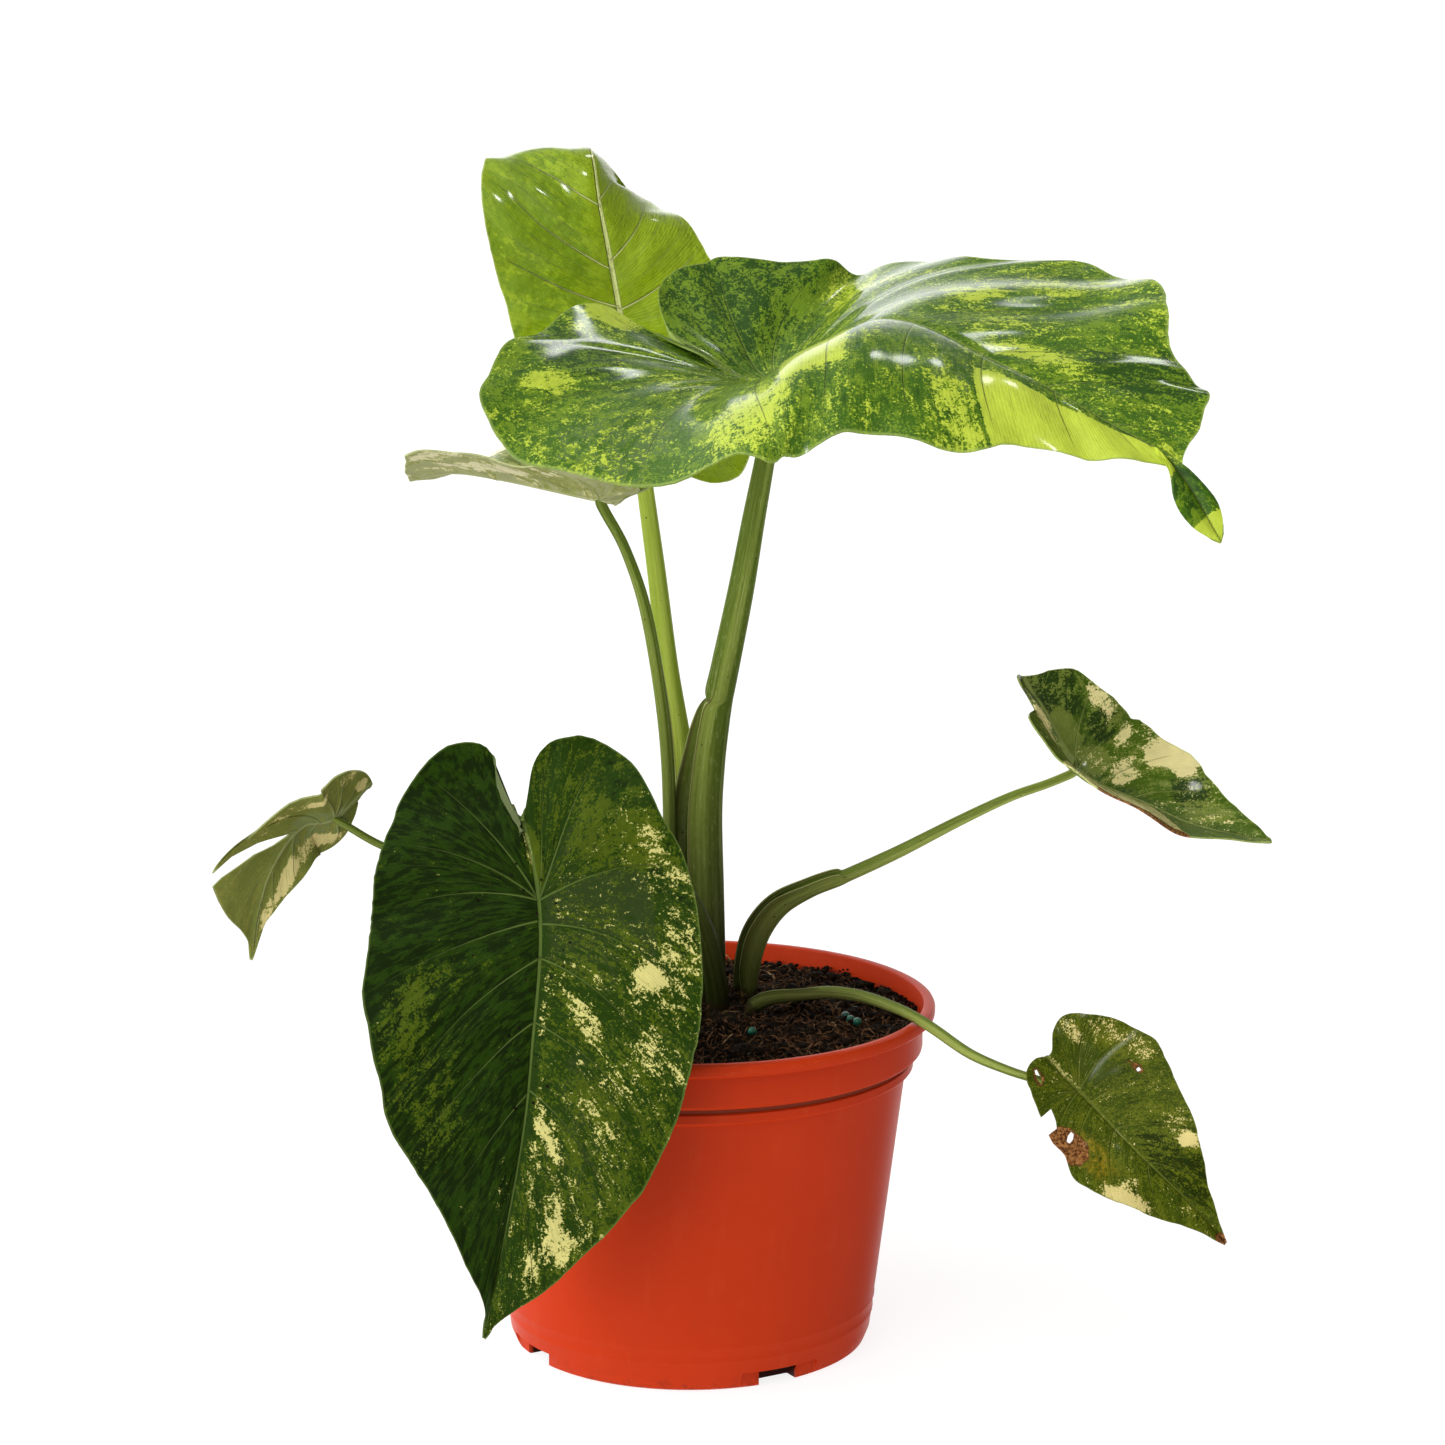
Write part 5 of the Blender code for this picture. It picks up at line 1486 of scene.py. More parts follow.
@dataclass
class Crown:
    """The short stem: a knobbly top with the torn sheath ends of older leaves.

    The narrowing is how much less the radius is at the bottom. The dome starts below the top and
    rises over it by its two heights. Each stub is x, y, radius, height and the way it faces.
    """

    centre: tuple = (7.0, 3.0)
    radius: float = 19.0
    narrowing: float = 4.0
    bottom: float = 85.3
    top: float = 107.0
    dome: tuple = (0.8, 1.4)
    steps: int = 96
    stub_skin: float = 0.35
    sharp: float = 60.0
    stubs: tuple = (
        (-9.0, 4.0, 3.2, 5.0, 200.0), (14.0, 6.5, 3.0, 4.2, 20.0), (3.5, -9.5, 2.8, 3.6, 250.0),
        (19.0, 3.0, 2.4, 3.4, 330.0), (9.0, 16.5, 3.0, 5.5, 100.0), (-3.0, 17.0, 2.6, 3.8, 130.0),
    )

    def build(self) -> None:
        """Makes the crown."""
        bm = bmesh.new()
        low = self.radius - self.narrowing
        rows = [(0.0, self.bottom), (low, self.bottom)]
        rows += [
            (low + self.narrowing * t, self.bottom + (self.top - self.bottom) * t)
            for t in (0.5, 0.93)
        ]
        first = len(rows)
        rows += [
            (self.radius * math.cos(a), self.top - self.dome[0] + self.dome[1] * math.sin(a))
            for a in np.linspace(0.05, math.pi / 2, 22)
        ]
        places = rings([(*self.centre, *row) for row in rows], self.steps)
        for ring in places[first:]:
            for point in ring[:-1]:
                at = Vector(point)
                point[2] += 0.9 * noise.noise(at / 3.0) + 0.4 * noise.noise(at)
            ring[-1] = ring[0]
        placed_grid(bm, places)
        bmesh.ops.remove_doubles(bm, verts=bm.verts, dist=0.02)
        bmesh.ops.recalc_face_normals(bm, faces=bm.faces)
        bark = EarthFinish("crown_bark", srgb(20, 15, 9), srgb(66, 56, 30), 2.2)
        piece = add_piece(bm, "crown_top", [bark.build()], self.sharp)
        attach(piece, "crown", "crown")
        self.build_stubs()

    def build_stubs(self) -> None:
        """Makes the dry sheath ends that stand between the stalks."""
        bm = bmesh.new()
        for x, y, radius, height, facing in self.stubs:
            span = np.linspace(-1.2, 1.2, 13) + math.radians(facing)
            levels = np.linspace(0, 1, 7)
            torn = np.array([noise_at(x, y, a * 3) for a in span])
            places = np.zeros((len(levels), len(span), 3))
            for k, level in enumerate(levels):
                wide = radius * (1 + 0.25 * level)
                places[k, :, 0] = x + wide * np.cos(span)
                places[k, :, 1] = y + wide * np.sin(span)
                places[k, :, 2] = self.top - 1.0 + (height + 2.2 * torn) * level
            placed_grid(bm, places)
        bmesh.ops.recalc_face_normals(bm, faces=bm.faces)
        dry = FibreFinish("dry_sheath", srgb(46, 32, 18), srgb(112, 86, 52), 0.65)
        piece = add_piece(bm, "crown_stubs", [dry.build()], self.sharp)
        solid = piece.modifiers.new("thickness", "SOLIDIFY")
        solid.thickness = self.stub_skin * MM
        solid.offset = 0.0
        apply_modifiers(piece, [], self.sharp)
        attach(piece, "crown")


@dataclass
class Prills:
    """The fertiliser prills, each a little out of round."""

    radius: float = 1.35
    finish: PrillFinish = field(default_factory=PrillFinish)

    def build(self) -> None:
        """Makes a finer prill where each packed one is."""
        coat = self.finish.build()
        for k in range(1, 5):
            low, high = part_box(f"prill_{k}")
            middle = [(a + b) / 2 / MM for a, b in zip(low, high)]
            bm = bmesh.new()
            add_lump(bm, self.radius, 4, 0.05, 1.0, (k * 7.0, 0, 0))
            bmesh.ops.translate(bm, vec=middle, verts=bm.verts)
            attach(add_piece(bm, f"prill_bead_{k}", [coat], 80.0), "prill", f"prill_{k}")


@dataclass
class Grit:
    """Crumbs of mix that lie on the front blade, a third of them close to its joint.

    Wide and near_wide are the middle and the spread across the blade, and near_long the same
    along it. Long and sizes are the least and the most.
    """

    blade: Blade
    count: int = 30
    seed: int = 21
    wide: tuple = (3.0, 9.0)
    long: tuple = (-14.0, 62.0)
    near_wide: tuple = (0.0, 3.0)
    near_long: tuple = (2.0, 8.0)
    sizes: tuple = (0.22, 0.5)
    height: float = 0.55

    def build(self) -> None:
        """Makes the crumbs."""
        rng = random.Random(self.seed)
        bm = bmesh.new()
        for k in range(self.count):
            across, along = rng.gauss(*self.wide), rng.uniform(*self.long)
            if k % 3 == 0:
                across, along = rng.gauss(*self.near_wide), rng.gauss(*self.near_long)
            size = rng.uniform(*self.sizes)
            at = self.blade.points(np.array([across]), np.array([along]), 0.3, self.height)[0]
            verts = add_lump(bm, size, 1, 0.5, 3.0, (k, 0, 0))
            bmesh.ops.translate(bm, vec=at, verts=verts)
        earth = EarthFinish("grit_earth", srgb(16, 10, 8), srgb(60, 44, 32), 0.6)
        attach(add_piece(bm, "front_grit", [earth.build()]), "potting_mix")


@dataclass
class Studio:
    """The camera, the pale floor and the soft lights.

    Front is the light from all sides, left and back what the left side and the low wall behind
    the plant add to it. Each lamp is a name, an energy, an angle in degrees and the way it shines.
    """

    camera_at: tuple = (0.0103, -1.277, 0.452)
    pitch: float = 11.2
    lens: float = 103.94
    sensor: float = 36.0
    front: float = 0.16
    left: float = 0.7
    back: float = 1.6
    lamps: tuple = (
        ("key", 2.7, 80.0, (0.85, 0.7, -1.1)),
        ("front_glint", 0.4, 7.0, (-0.05, 0.6, -0.8)),
        ("top_glint", 0.12, 6.0, (-0.2, -0.45, -0.87)),
    )
    floor_size: float = 60.0

    def build(self) -> None:
        """Makes the camera, lights, sky and floor."""
        scene = bpy.context.scene
        camera = bpy.data.objects.new("camera", bpy.data.cameras.new("camera"))
        camera.location = self.camera_at
        camera.rotation_euler = (math.radians(90 - self.pitch), 0, 0)
        camera.data.lens = self.lens
        camera.data.sensor_width = self.sensor
        camera.data.clip_start = 0.05
        camera.data.clip_end = 200.0
        scene.collection.objects.link(camera)
        scene.camera = camera
        scene.view_settings.view_transform = "Standard"
        for name, energy, angle, towards in self.lamps:
            sun = bpy.data.lights.new(name, "SUN")
            sun.energy = energy
            sun.angle = math.radians(angle)
            lamp = bpy.data.objects.new(name, sun)
            lamp.rotation_euler = Vector(towards).to_track_quat("-Z", "Y").to_euler()
            lamp.visible_glossy = name != "key"
            lamp.visible_diffuse = name == "key"
            scene.collection.objects.link(lamp)
        self.backdrop()
        bm = bmesh.new()
        bmesh.ops.create_grid(bm, x_segments=1, y_segments=1, size=self.floor_size / 2 / MM)
        floor = add_piece(bm, "floor", [FloorFinish().build()])
        floor.visible_glossy = False

    def backdrop(self) -> None:
        """Makes the light all round: a soft front and a bright wall low behind the plant."""
        n = Nodes("studio_sky", world=True)
        x, y, z = n.split(n.node("ShaderNodeTexCoord").outputs["Generated"])
        wall = n.times(n.times(n.step(y, 0.7, 0.92), n.step(z, 0.8, 0.4)), self.back)
        side = n.times(n.step(x, 0.3, -0.9), self.left)
        n.put(n.shader.inputs["Strength"], n.add(wall, side, self.front))
        n.put(n.shader.inputs["Color"], (1.0, 1.0, 1.0))
        bpy.context.scene.world = n.owner


DEEP = LeafFinish(
    "deep_green_leaf", dark=srgb(18, 34, 1), green=srgb(33, 56, 2), grey=srgb(44, 60, 20),
    pale=srgb(92, 106, 14), cream=srgb(206, 198, 122), vein=srgb(96, 116, 52), vein_show=0.7,
    cream_level=-0.56, pale_level=-0.4, lanes=10.0, patch=2.3, fleck=0.8, length=136.0,
    weights=(1.4, 1.0, 1.7), specular=0.05, coat=0.08, relief=0.34, rib_width=0.8,
)
MARBLED = LeafFinish(
    "lime_marbled_leaf", dark=srgb(38, 72, 3), green=srgb(60, 98, 8), grey=srgb(80, 108, 50),
    pale=srgb(134, 162, 28), cream=srgb(188, 206, 62), vein=srgb(150, 172, 80), vein_show=0.4,
    cream_level=-0.18, pale_level=-0.03, lanes=9.0, patch=3.2, fleck=0.9, length=176.0,
    weights=(1.2, 0.9, 1.6), coat=0.7, relief=0.34, rib_width=1.0,
)
LIME = LeafFinish(
    "young_lime_leaf", dark=srgb(114, 144, 6), green=srgb(136, 162, 10), grey=srgb(146, 170, 26),
    pale=srgb(152, 178, 26), cream=srgb(176, 196, 48), vein=srgb(212, 220, 138), vein_show=0.9,
    cream_level=-0.5, pale_level=-0.2, lanes=7.0, patch=9.0, fleck=3.0, length=123.0,
    roughness=0.3, specular=0.12, coat=0.8, relief=0.8, rib_width=1.5,
)
KHAKI = LeafFinish(
    "pale_backed_leaf", green=srgb(104, 120, 44), dark=srgb(70, 92, 28), pale=srgb(176, 176, 106),
    cream=srgb(222, 216, 172), vein=srgb(196, 198, 146), vein_show=0.5, cream_level=-0.2,
    pale_level=-0.05, lanes=6.0, length=66.0, tint=srgb(184, 184, 136), tint_share=0.66,
)
OLIVE = LeafFinish(
    "olive_backed_leaf", green=srgb(104, 114, 36), dark=srgb(84, 96, 26), grey=srgb(116, 132, 84),
    pale=srgb(158, 156, 78), cream=srgb(220, 206, 138), vein=srgb(164, 172, 114), vein_show=0.6,
    cream_level=-0.42, pale_level=-0.08, lanes=6.0, patch=2.6, fleck=0.8, length=57.0,
    tint=srgb(132, 138, 74), tint_share=0.45, weights=(1.2, 0.9, 1.2),
)
CREAMY = LeafFinish(
    "cream_marbled_leaf", dark=srgb(36, 60, 3), green=srgb(70, 96, 10), grey=srgb(92, 114, 62),
    pale=srgb(146, 156, 70), cream=srgb(236, 222, 158), vein=srgb(168, 180, 100), vein_show=0.55,
    cream_level=-0.26, pale_level=-0.1, lanes=6.0, patch=2.2, fleck=0.7, length=66.0,
    weights=(1.2, 1.1, 1.7), rib_width=1.3,
)
SPOILT = LeafFinish(
    "spoilt_cream_leaf", dark=srgb(34, 46, 2), green=srgb(58, 72, 4), grey=srgb(72, 86, 28),
    pale=srgb(112, 118, 24), cream=srgb(214, 198, 128), vein=srgb(112, 120, 46), vein_show=0.45,
    cream_level=-0.42, pale_level=-0.05, lanes=9.0, patch=1.3, fleck=0.6, length=65.0,
    weights=(1.3, 1.3, 2.2), specular=0.06, coat=0.1,
)

FRONT = Blade(
    "blade_front",
    [
        ((-56, -60, 209), (-0.05, -0.85, 0.50), (4, 4, -0.12, -0.12)),
        ((-44, -78, 161), (-0.05, -0.92, 0.40), (4, 4, -0.12, -0.12)),
        ((-46, -89, 118), (-0.05, -1.00, 0.10), (8, 8, -0.12, -0.12)),
        ((-50, -92, 85), (-0.05, -1.00, 0.00), (8, 8, -0.12, -0.12)),
        ((-61, -87, 29), (-0.10, -1.00, -0.12), (6, 6, -0.12, -0.12)),
    ],
    joint=1,
    right=[
        (0, -24), (5, -33), (4, -46), (10, -51), (20, -50), (32, -41), (42, -28), (48, -13),
        (50, 4), (51, 22), (51, 34), (46, 50), (43, 62), (40, 72), (31, 84), (21, 97), (9, 114),
        (2, 126), (0, 136),
    ],
    left=[
        (0, -24), (-3, -31), (-8, -41), (-16, -45), (-26, -43), (-35, -33), (-40, -18), (-45, -3),
        (-48, 15), (-49, 30), (-48, 45), (-44, 62), (-37, 80), (-27, 98), (-15, 116), (-5, 128),
        (0, 136),
    ],
    right_veins=[
        (0, 4.5), (0, 6.0), (0, 7.6), (6, 10.0), (17, 12.4), (36, 13.8), (57, 15.1), (85, 16.6),
    ],
    left_veins=[
        (0, 2.6), (0, 4.4), (0, 7.0), (7, 8.8), (17, 10.4), (36, 11.4), (56, 12.5), (85, 14.2),
    ],
    finish=DEEP,
    wave=(1.2, 33.0, 6.0),
    rows=16,
    columns=36,
    ripple=0.5,
    marks=(
        *sectors(Mark.TONE, Half.RIGHT, (0.0, 9.0, 0.0, 1.1, -0.2)),
        *sectors(Mark.PALE, Half.LEFT, (0.6, 9.0, 0.05, 1.1, 0.3)),
        *sectors(Mark.CREAM, Half.LEFT, (2.4, 9.0, 0.08, 1.1, 0.24)),
        # Positive TONE on the left half turns it grey-green, partly a painted grey sheen.
        *sectors(
            Mark.TONE, Half.LEFT, (3.0, 4.0, 0.03, 0.72, 0.55), (2.0, 3.0, 0.03, 0.6, 0.3),
            (4.0, 5.0, 0.03, 0.5, 0.4), (6.0, 7.6, 0.25, 0.9, 0.35),
        ),
        *spots(
            Mark.PALE, (-20, -19, 16, 10, 0, 0.2), (-33, -11, 10, 7, 0, 0.3),
            (-26, 70, 38, 22, 0, 0.14), (-0.8, -14, 12, 2.4, 0, 0.9), (38, 41, 16, 12, 20, 0.32),
            (31, 58, 18, 12, 30, 0.32), (24, 74, 16, 10, 30, 0.34), (30, 26, 18, 8, 60, 0.26),
            (9, -42, 10, 6, 0, 0.1),
        ),
        *spots(
            Mark.CREAM, (-35, -10, 9, 5, 0, 0.22), (-41, 12, 24, 9, 0, 0.2),
            (-32.6, 21, 5, 6, -10, 0.62), (-16, 34, 13, 4.4, -37, 0.3),
            (-28, 30, 22, 12, -30, 0.08), (-38, 44, 13, 7, -50, 0.2), (-27, 50, 12, 6, -45, 0.12),
            (-2.4, 34, 22, 1.8, 0, 0.4), (-4.2, 72, 24, 3.0, -3, 0.3), (-9, 70, 9, 3, -15, 0.36),
            (-12, 90, 9, 5.5, -20, 0.26), (-16, 101, 9, 7, -15, 0.48), (-10, 111, 10, 5, -10, 0.24),
            (-22, 72, 26, 15, 0, 0.08), (3.0, 88, 10, 2.4, 5, 0.4), (0.4, -16, 9, 1.3, 0, 0.5),
        ),
    ),
)

TOP = Blade(
    "blade_top",
    [
        ((-32, 34, 334), (0, -0.10, 1.0), (24, -8, 0.0, -0.20)),
        ((5, 13, 312), (0, -0.10, 1.0), (26, 2, 0.0, -0.35)),
        ((27, 0, 306), (0, -0.10, 1.0), (22, 12, 0.0, -0.55)),
        ((59, -20, 327), (0, -0.15, 1.0), (6, 5, 0.0, -0.60)),
        ((93, -42, 316), (0, -0.30, 1.0), (6, 5, 0.0, -0.60)),
        ((121, -58, 302), (0, -0.60, 1.0), (6, 0, 0.0, -0.60)),
        ((141, -68, 290), (0, -0.70, 1.0), (4, 0, 0.0, -0.60)),
        ((156, -76, 267), (0, -0.90, 0.6), (28, 28, 0.0, 0.0)),
    ],
    joint=2,
    right=[
        (5, -18), (6, -29), (5, -46), (8, -62), (20, -67), (36, -65), (49, -68), (62, -63),
        (74, -58), (82, -46), (87, -31), (85, -16), (83, -2), (80, 14), (82, 27), (82, 40),
        (78, 52), (72, 62), (60, 70), (51, 80), (45, 94), (36, 103), (26, 109), (19, 120),
        (14, 131), (5.5, 142), (0.9, 148.5), (6, 153.5), (7.6, 160), (5.4, 168), (0, 174.5),
    ],
    left=[
        (5, -18), (2, -31), (-2, -45), (-12, -56), (-22, -58), (-31, -54), (-38, -52), (-45, -41),
        (-54, -28), (-62, -12), (-67, 4), (-67, 19), (-64, 33), (-60, 46), (-65, 60), (-70, 74),
        (-67, 90), (-61, 103), (-52, 111), (-39, 121), (-31, 132), (-28, 138.5), (-16, 144),
        (-5, 147), (-1.6, 150.5), (-4, 155), (-5.2, 162), (-3.9, 168.5), (0, 174.5),
    ],
    right_veins=[
        (0, 3.5), (0, 6.0), (0, 9.0), (0, 12.0), (8, 15.0), (30, 17.5), (55, 19.5), (80, 21.5),
        (105, 23.5), (125, 25.0),
    ],
    left_veins=[
        (0, 3.5), (0, 6.0), (0, 8.5), (0, 11.0), (8, 13.0), (28, 15.5), (52, 17.5), (78, 19.5),
        (102, 21.0), (125, 22.6),
    ],
    finish=MARBLED,
    wave=(0.8, 42.0, 10.0),
    reach=20.0,
    rows=16,
    columns=46,
    quilt=1.0,
    puff=0.05,
    ripple=1.4,
    marks=(
        *sectors(
            Mark.CREAM, Half.RIGHT, (6.28, 7.3, 0.05, 1.1, -0.06), (5.3, 6.28, 0.1, 0.6, 0.46),
            (7.3, 7.88, 0.55, 1.1, 0.22), (7.88, 10.5, 0.3, 1.1, 0.9),
        ),
        # Positive TONE turns the ground grey-green, partly a painted grey sheen.
        *sectors(Mark.TONE, Half.RIGHT, (6.28, 7.3, 0.05, 1.1, 0.05), (7.3, 7.88, 0.0, 0.7, 0.4)),
        *spots(
            Mark.CREAM, (62, 22, 16, 22, 20, 0.34), (54, -47, 7, 9, 30, 0.4),
            (36, -50, 16, 14, 0, -0.2), (10, -57, 8, 12, 60, 0.5), (-24, -32, 30, 44, 20, -0.3),
            (-52, 4, 22, 14, 0, 0.16), (-10, 90, 24, 6, -8, 0.3), (-29, 58, 11, 7, -40, 0.3),
            (-60, 91, 13, 8, -20, 0.15), (-48, 74, 12, 7, -30, 0.22),
            (-24, 124, 22, 10, -20, -0.35), (2, 158, 10, 10, 0, -1.6), (0, 171, 7, 9, 0, 1.5),
        ),
        *spots(
            Mark.TONE, (66, -14, 22, 30, 0, 0.4), (36, -50, 18, 16, 0, -0.5),
            (-24, -32, 30, 40, 20, -0.5), (-24, 124, 24, 12, -20, -0.5), (2, 158, 10, 10, 0, -0.15),
        ),
        *spots(Mark.PALE, (-46, -10, 26, 18, 0, 0.2), (2, 158, 10, 10, 0, -0.1)),
    ),
)

UPRIGHT = Blade(
    "blade_upright",
    [
        ((-18, 70, 277), (0, -1.00, 0.05), (4, 0, 0.0, 0.0)),
        ((-21, 71, 308), (0, -1.00, 0.05), (4, 0, 0.0, -0.20)),
        ((-26, 72, 338), (0, -1.00, 0.10), (4, -12, 0.0, -0.60)),
        ((-29, 74, 354), (0, -0.95, 0.25), (2, -42, 0.0, -0.50)),
        ((-31, 80, 367), (0, -0.70, 0.70), (-4, -56, 0.0, 0.0)),
        ((-33, 92, 372), (0, -0.10, 1.00), (-4, -50, 0.0, 0.0)),
        ((-35, 108, 363), (0, 0.50, 0.80), (0, -36, 0.0, 0.0)),
        ((-36, 118, 345), (0, 0.90, 0.40), (0, -25, 0.0, 0.0)),
    ],
    joint=1,
    right=[
        (0, -9), (3, -21), (8, -34), (16, -42.5), (26, -46), (34, -43), (38, -33), (39, -18),
        (37, 0), (35, 16), (31.5, 32), (30, 50), (27, 66), (22, 80), (15, 96), (8, 111), (0, 123),
    ],
    left=[
        (0, -9), (-3, -24), (-5, -38), (-9, -47), (-15, -47), (-24, -40), (-31, -25), (-34, -6),
        (-35, 12), (-37, 32), (-37.5, 50), (-37, 62), (-34, 74), (-28, 87), (-20, 99), (-9, 113),
        (0, 123),
    ],
    right_veins=[
        (0, 2.5), (0, 4.6), (0, 7.2), (13, 9.8), (29, 11.4), (49, 12.8), (72, 14.2), (95, 15.2),
    ],
    left_veins=[
        (0, 2.6), (0, 4.8), (0, 7.2), (14, 9.4), (26, 11.2), (47, 12.4), (72, 13.6), (95, 14.8),
    ],
    finish=LIME,
    wave=(0.8, 45.0, 0.0),
    rows=14,
    columns=32,
    quilt=1.5,
    puff=0.07,
    ripple=0.6,
    bow=0.2,
    marks=(
        *spots(Mark.TONE, (-22, 40, 50, 22, 0, -0.3)),
        *spots(Mark.PALE, (24, 24, 50, 20, 0, 0.4), (-8, 80, 30, 14, 0, 0.2)),
    ),
)

HIGH_LEFT = Blade(
    "blade_high_left",
    [
        ((-10, 6, 267), (0.1, 0.10, 1.0), (24, 26, 0.0, 0.0)),
        ((-28, 10, 269), (0.1, 0.10, 1.0), (24, 26, 0.0, 0.0)),
        ((-59, 24, 273), (0.0, 0.10, 1.0), (24, 30, 0.0, 0.0)),
        ((-75, 30, 274), (0.0, 0.10, 1.0), (24, 5, 0.0, 0.0)),
        ((-88, 34, 271), (-0.3, 0.10, 1.0), (24, -25, 0.0, 0.0)),
    ],
    joint=1,
    right=[
        (0, -5), (5, -12), (12, -14), (19, -8), (22, 4), (24, 18), (26, 32), (25, 42), (18, 50),
        (12, 56), (6, 62), (0, 66),
    ],
    left=[
        (0, -5), (-5, -12), (-11, -13), (-16, -7), (-17, 5), (-16, 18), (-15, 32), (-17, 44),
        (-19, 53), (-18, 59), (-12, 62), (-5, 65), (0, 66),
    ],
    right_veins=[(0, 2.5), (0, 4.2), (8, 6.5), (20, 8.2), (36, 9.6)],
    left_veins=[(0, 2.0), (0, 4.0), (8, 6.0), (20, 8.0), (36, 9.8)],
    finish=KHAKI,
    wave=(0.6, 26.0, 4.0),
    wobble=1.1,
    marks=(
        *spots(
            Mark.CREAM, (-7, 36, 30, 4, 6, 0.35), (-14, 52, 10, 5, 0, 0.25), (19, 44, 9, 5, 0, 0.7),
        ),
        *spots(Mark.PALE, (-8, 14, 16, 8, 0, 0.3)),
    ),
)

SMALL_LEFT = Blade(
    "blade_small_left",
    [
        ((-97, -36, 188), (-0.2, 0.75, 0.65), (-12, -12, 0.0, 0.0)),
        ((-108, -40, 178), (-0.2, 0.75, 0.65), (-12, -12, 0.0, 0.0)),
        ((-117, -42, 176), (-0.3, 0.80, 0.50), (-12, -12, 0.0, 0.0)),
        ((-124, -46, 168), (-0.4, 0.85, 0.30), (-12, -12, 0.0, 0.0)),
        ((-129, -49, 156), (-0.4, 0.90, 0.20), (-12, -12, 0.0, 0.0)),
        ((-133, -48, 134), (-0.4, 0.90, 0.10), (-12, -12, 0.0, 0.0)),
    ],
    joint=1,
    right=[
        (1.2, -6), (2.4, -8.5), (4.5, -6), (6.5, -3), (9, 0), (11.8, 3), (13.2, 8), (11.8, 15),
        (10.7, 24), (8.3, 32), (5, 39), (1.8, 46), (0, 55.5),
    ],
    left=[
        (1.2, -6), (0.8, -11), (0.8, -15.5), (-6, -16), (-12, -13.5), (-16, -10), (-17.5, -5),
        (-18.5, 1), (-14.8, 6.5), (-12.8, 14.5), (-15, 24), (-18.5, 29), (-20, 31.5), (-18, 34),
        (-14, 38), (-10, 42), (-5, 46), (-1.6, 50.5), (0, 55.5),
    ],
    right_veins=[(0, 3.0), (0, 5.0), (5, 7.2), (14, 8.6), (26, 10.0)],
    left_veins=[(0, 3.0), (0, 5.0), (0, 7.0), (4, 10.5), (12, 14.0), (24, 15.6)],
    finish=OLIVE,
    holes=(
        [
            (-1, 14), (-4, 17), (-10, 22), (-16, 27.5), (-26, 36), (-24, 39), (-16, 32),
            (-8.5, 25), (-3.5, 20),
        ],
    ),
    quilt=0.25,
    wobble=0.35,
    rib=1.3,
    marks=(
        *spots(
            Mark.CREAM, (-3, -13, 3.6, 2.8, 20, 0.95), (-11.5, 2.5, 8, 2.0, 32, 0.75),
            (-11, -11, 6, 4, 0, 0.4), (6.5, 18, 22, 3.6, -3, 0.45), (6, 28, 10, 2.8, -3, 0.5),
            (7.5, 5, 6, 4, 0, 0.4), (2.5, 40, 9, 2.2, -15, 0.5), (-10, 12, 14, 3, 0, 0.3),
            (1, 8, 10, 4, 0, -0.4),
        ),
        *spots(Mark.TONE, (1, 6, 14, 8, 0, 0.7)),
    ),
)

SMALL_RIGHT = Blade(
    "blade_small_right",
    [
        ((106, 4, 209), (0.1, -0.80, 0.60), (14, 52, 0.0, 0.0)),
        ((121, -4, 185), (0.2, -0.70, 0.70), (14, 52, 0.0, 0.0)),
        ((143, -16, 176), (0.2, -0.70, 0.70), (14, 46, 0.0, 0.0)),
        ((157, -22, 171), (0.2, -0.75, 0.65), (10, 40, 0.0, 0.0)),
        ((179, -30, 168), (0.2, -0.75, 0.65), (5, 25, 0.0, 0.0)),
    ],
    joint=1,
    right=[
        (0, -22), (8, -23), (16, -21), (19.5, -15), (22, -5), (23, 8), (22.5, 20), (21, 32),
        (14, 42), (7, 50.5), (3, 59), (0, 66),
    ],
    left=[
        (0, -22), (1, -27), (5.5, -31), (3.2, -34.7), (-3.8, -32.5), (-16, -28), (-22, -15),
        (-25, -2), (-25, 12), (-21, 28), (-15.5, 42), (-8, 53.5), (-4.2, 60.5), (0, 66),
    ],
    right_veins=[(0, 2.0), (0, 3.5), (0, 5.0), (8, 6.6), (20, 8.0), (34, 9.2)],
    left_veins=[(0, 3.5), (0, 5.5), (0, 7.2), (8, 9.0), (20, 10.2), (34, 11.2)],
    finish=CREAMY,
    wave=(0.6, 22.0, 3.0),
    quilt=0.35,
    wobble=0.9,
    marks=(
        *sectors(Mark.CREAM, Half.RIGHT, (2.5, 5.2, 0.25, 1.1, 0.42)),
        *sectors(Mark.BROWN, Half.RIGHT, (3.4, 5.2, 0.9, 1.1, 0.66)),
        *sectors(Mark.TONE, Half.RIGHT, (5.2, 7.0, 0.0, 1.1, 0.5)),
        *spots(
            Mark.TONE, (-5, -27, 16, 12, 0, -0.5), (-15, -8, 9, 6, 0, -0.5),
            (-10, 36, 9, 7, 0, -0.5),
        ),
        *spots(
            Mark.CREAM, (-6, -27, 16, 12, 0, -0.35), (-6, 2, 6, 4.5, 0, 0.22),
            (-18, -15, 11, 4, 0, 0.45), (-15, -8, 8, 6, 0, -0.3), (-18, 4, 5, 5.5, 0, 0.45),
            (-18, 25, 11, 9, 0, 0.9), (-12, 25, 4.5, 3.4, -10, -0.8), (-6.5, 14, 6, 6, 0, 0.4),
            (-4, 22, 7, 4, 0, -0.3), (4, -18, 9, 2.8, 0, 0.7),
        ),
        *spots(
            Mark.PALE, (-3.5, -12, 10, 5, 0, 0.8), (-6, 2, 7, 5.5, 0, 0.9),
            (-5, 44, 10, 5, 0, 0.35),
        ),
    ),
)

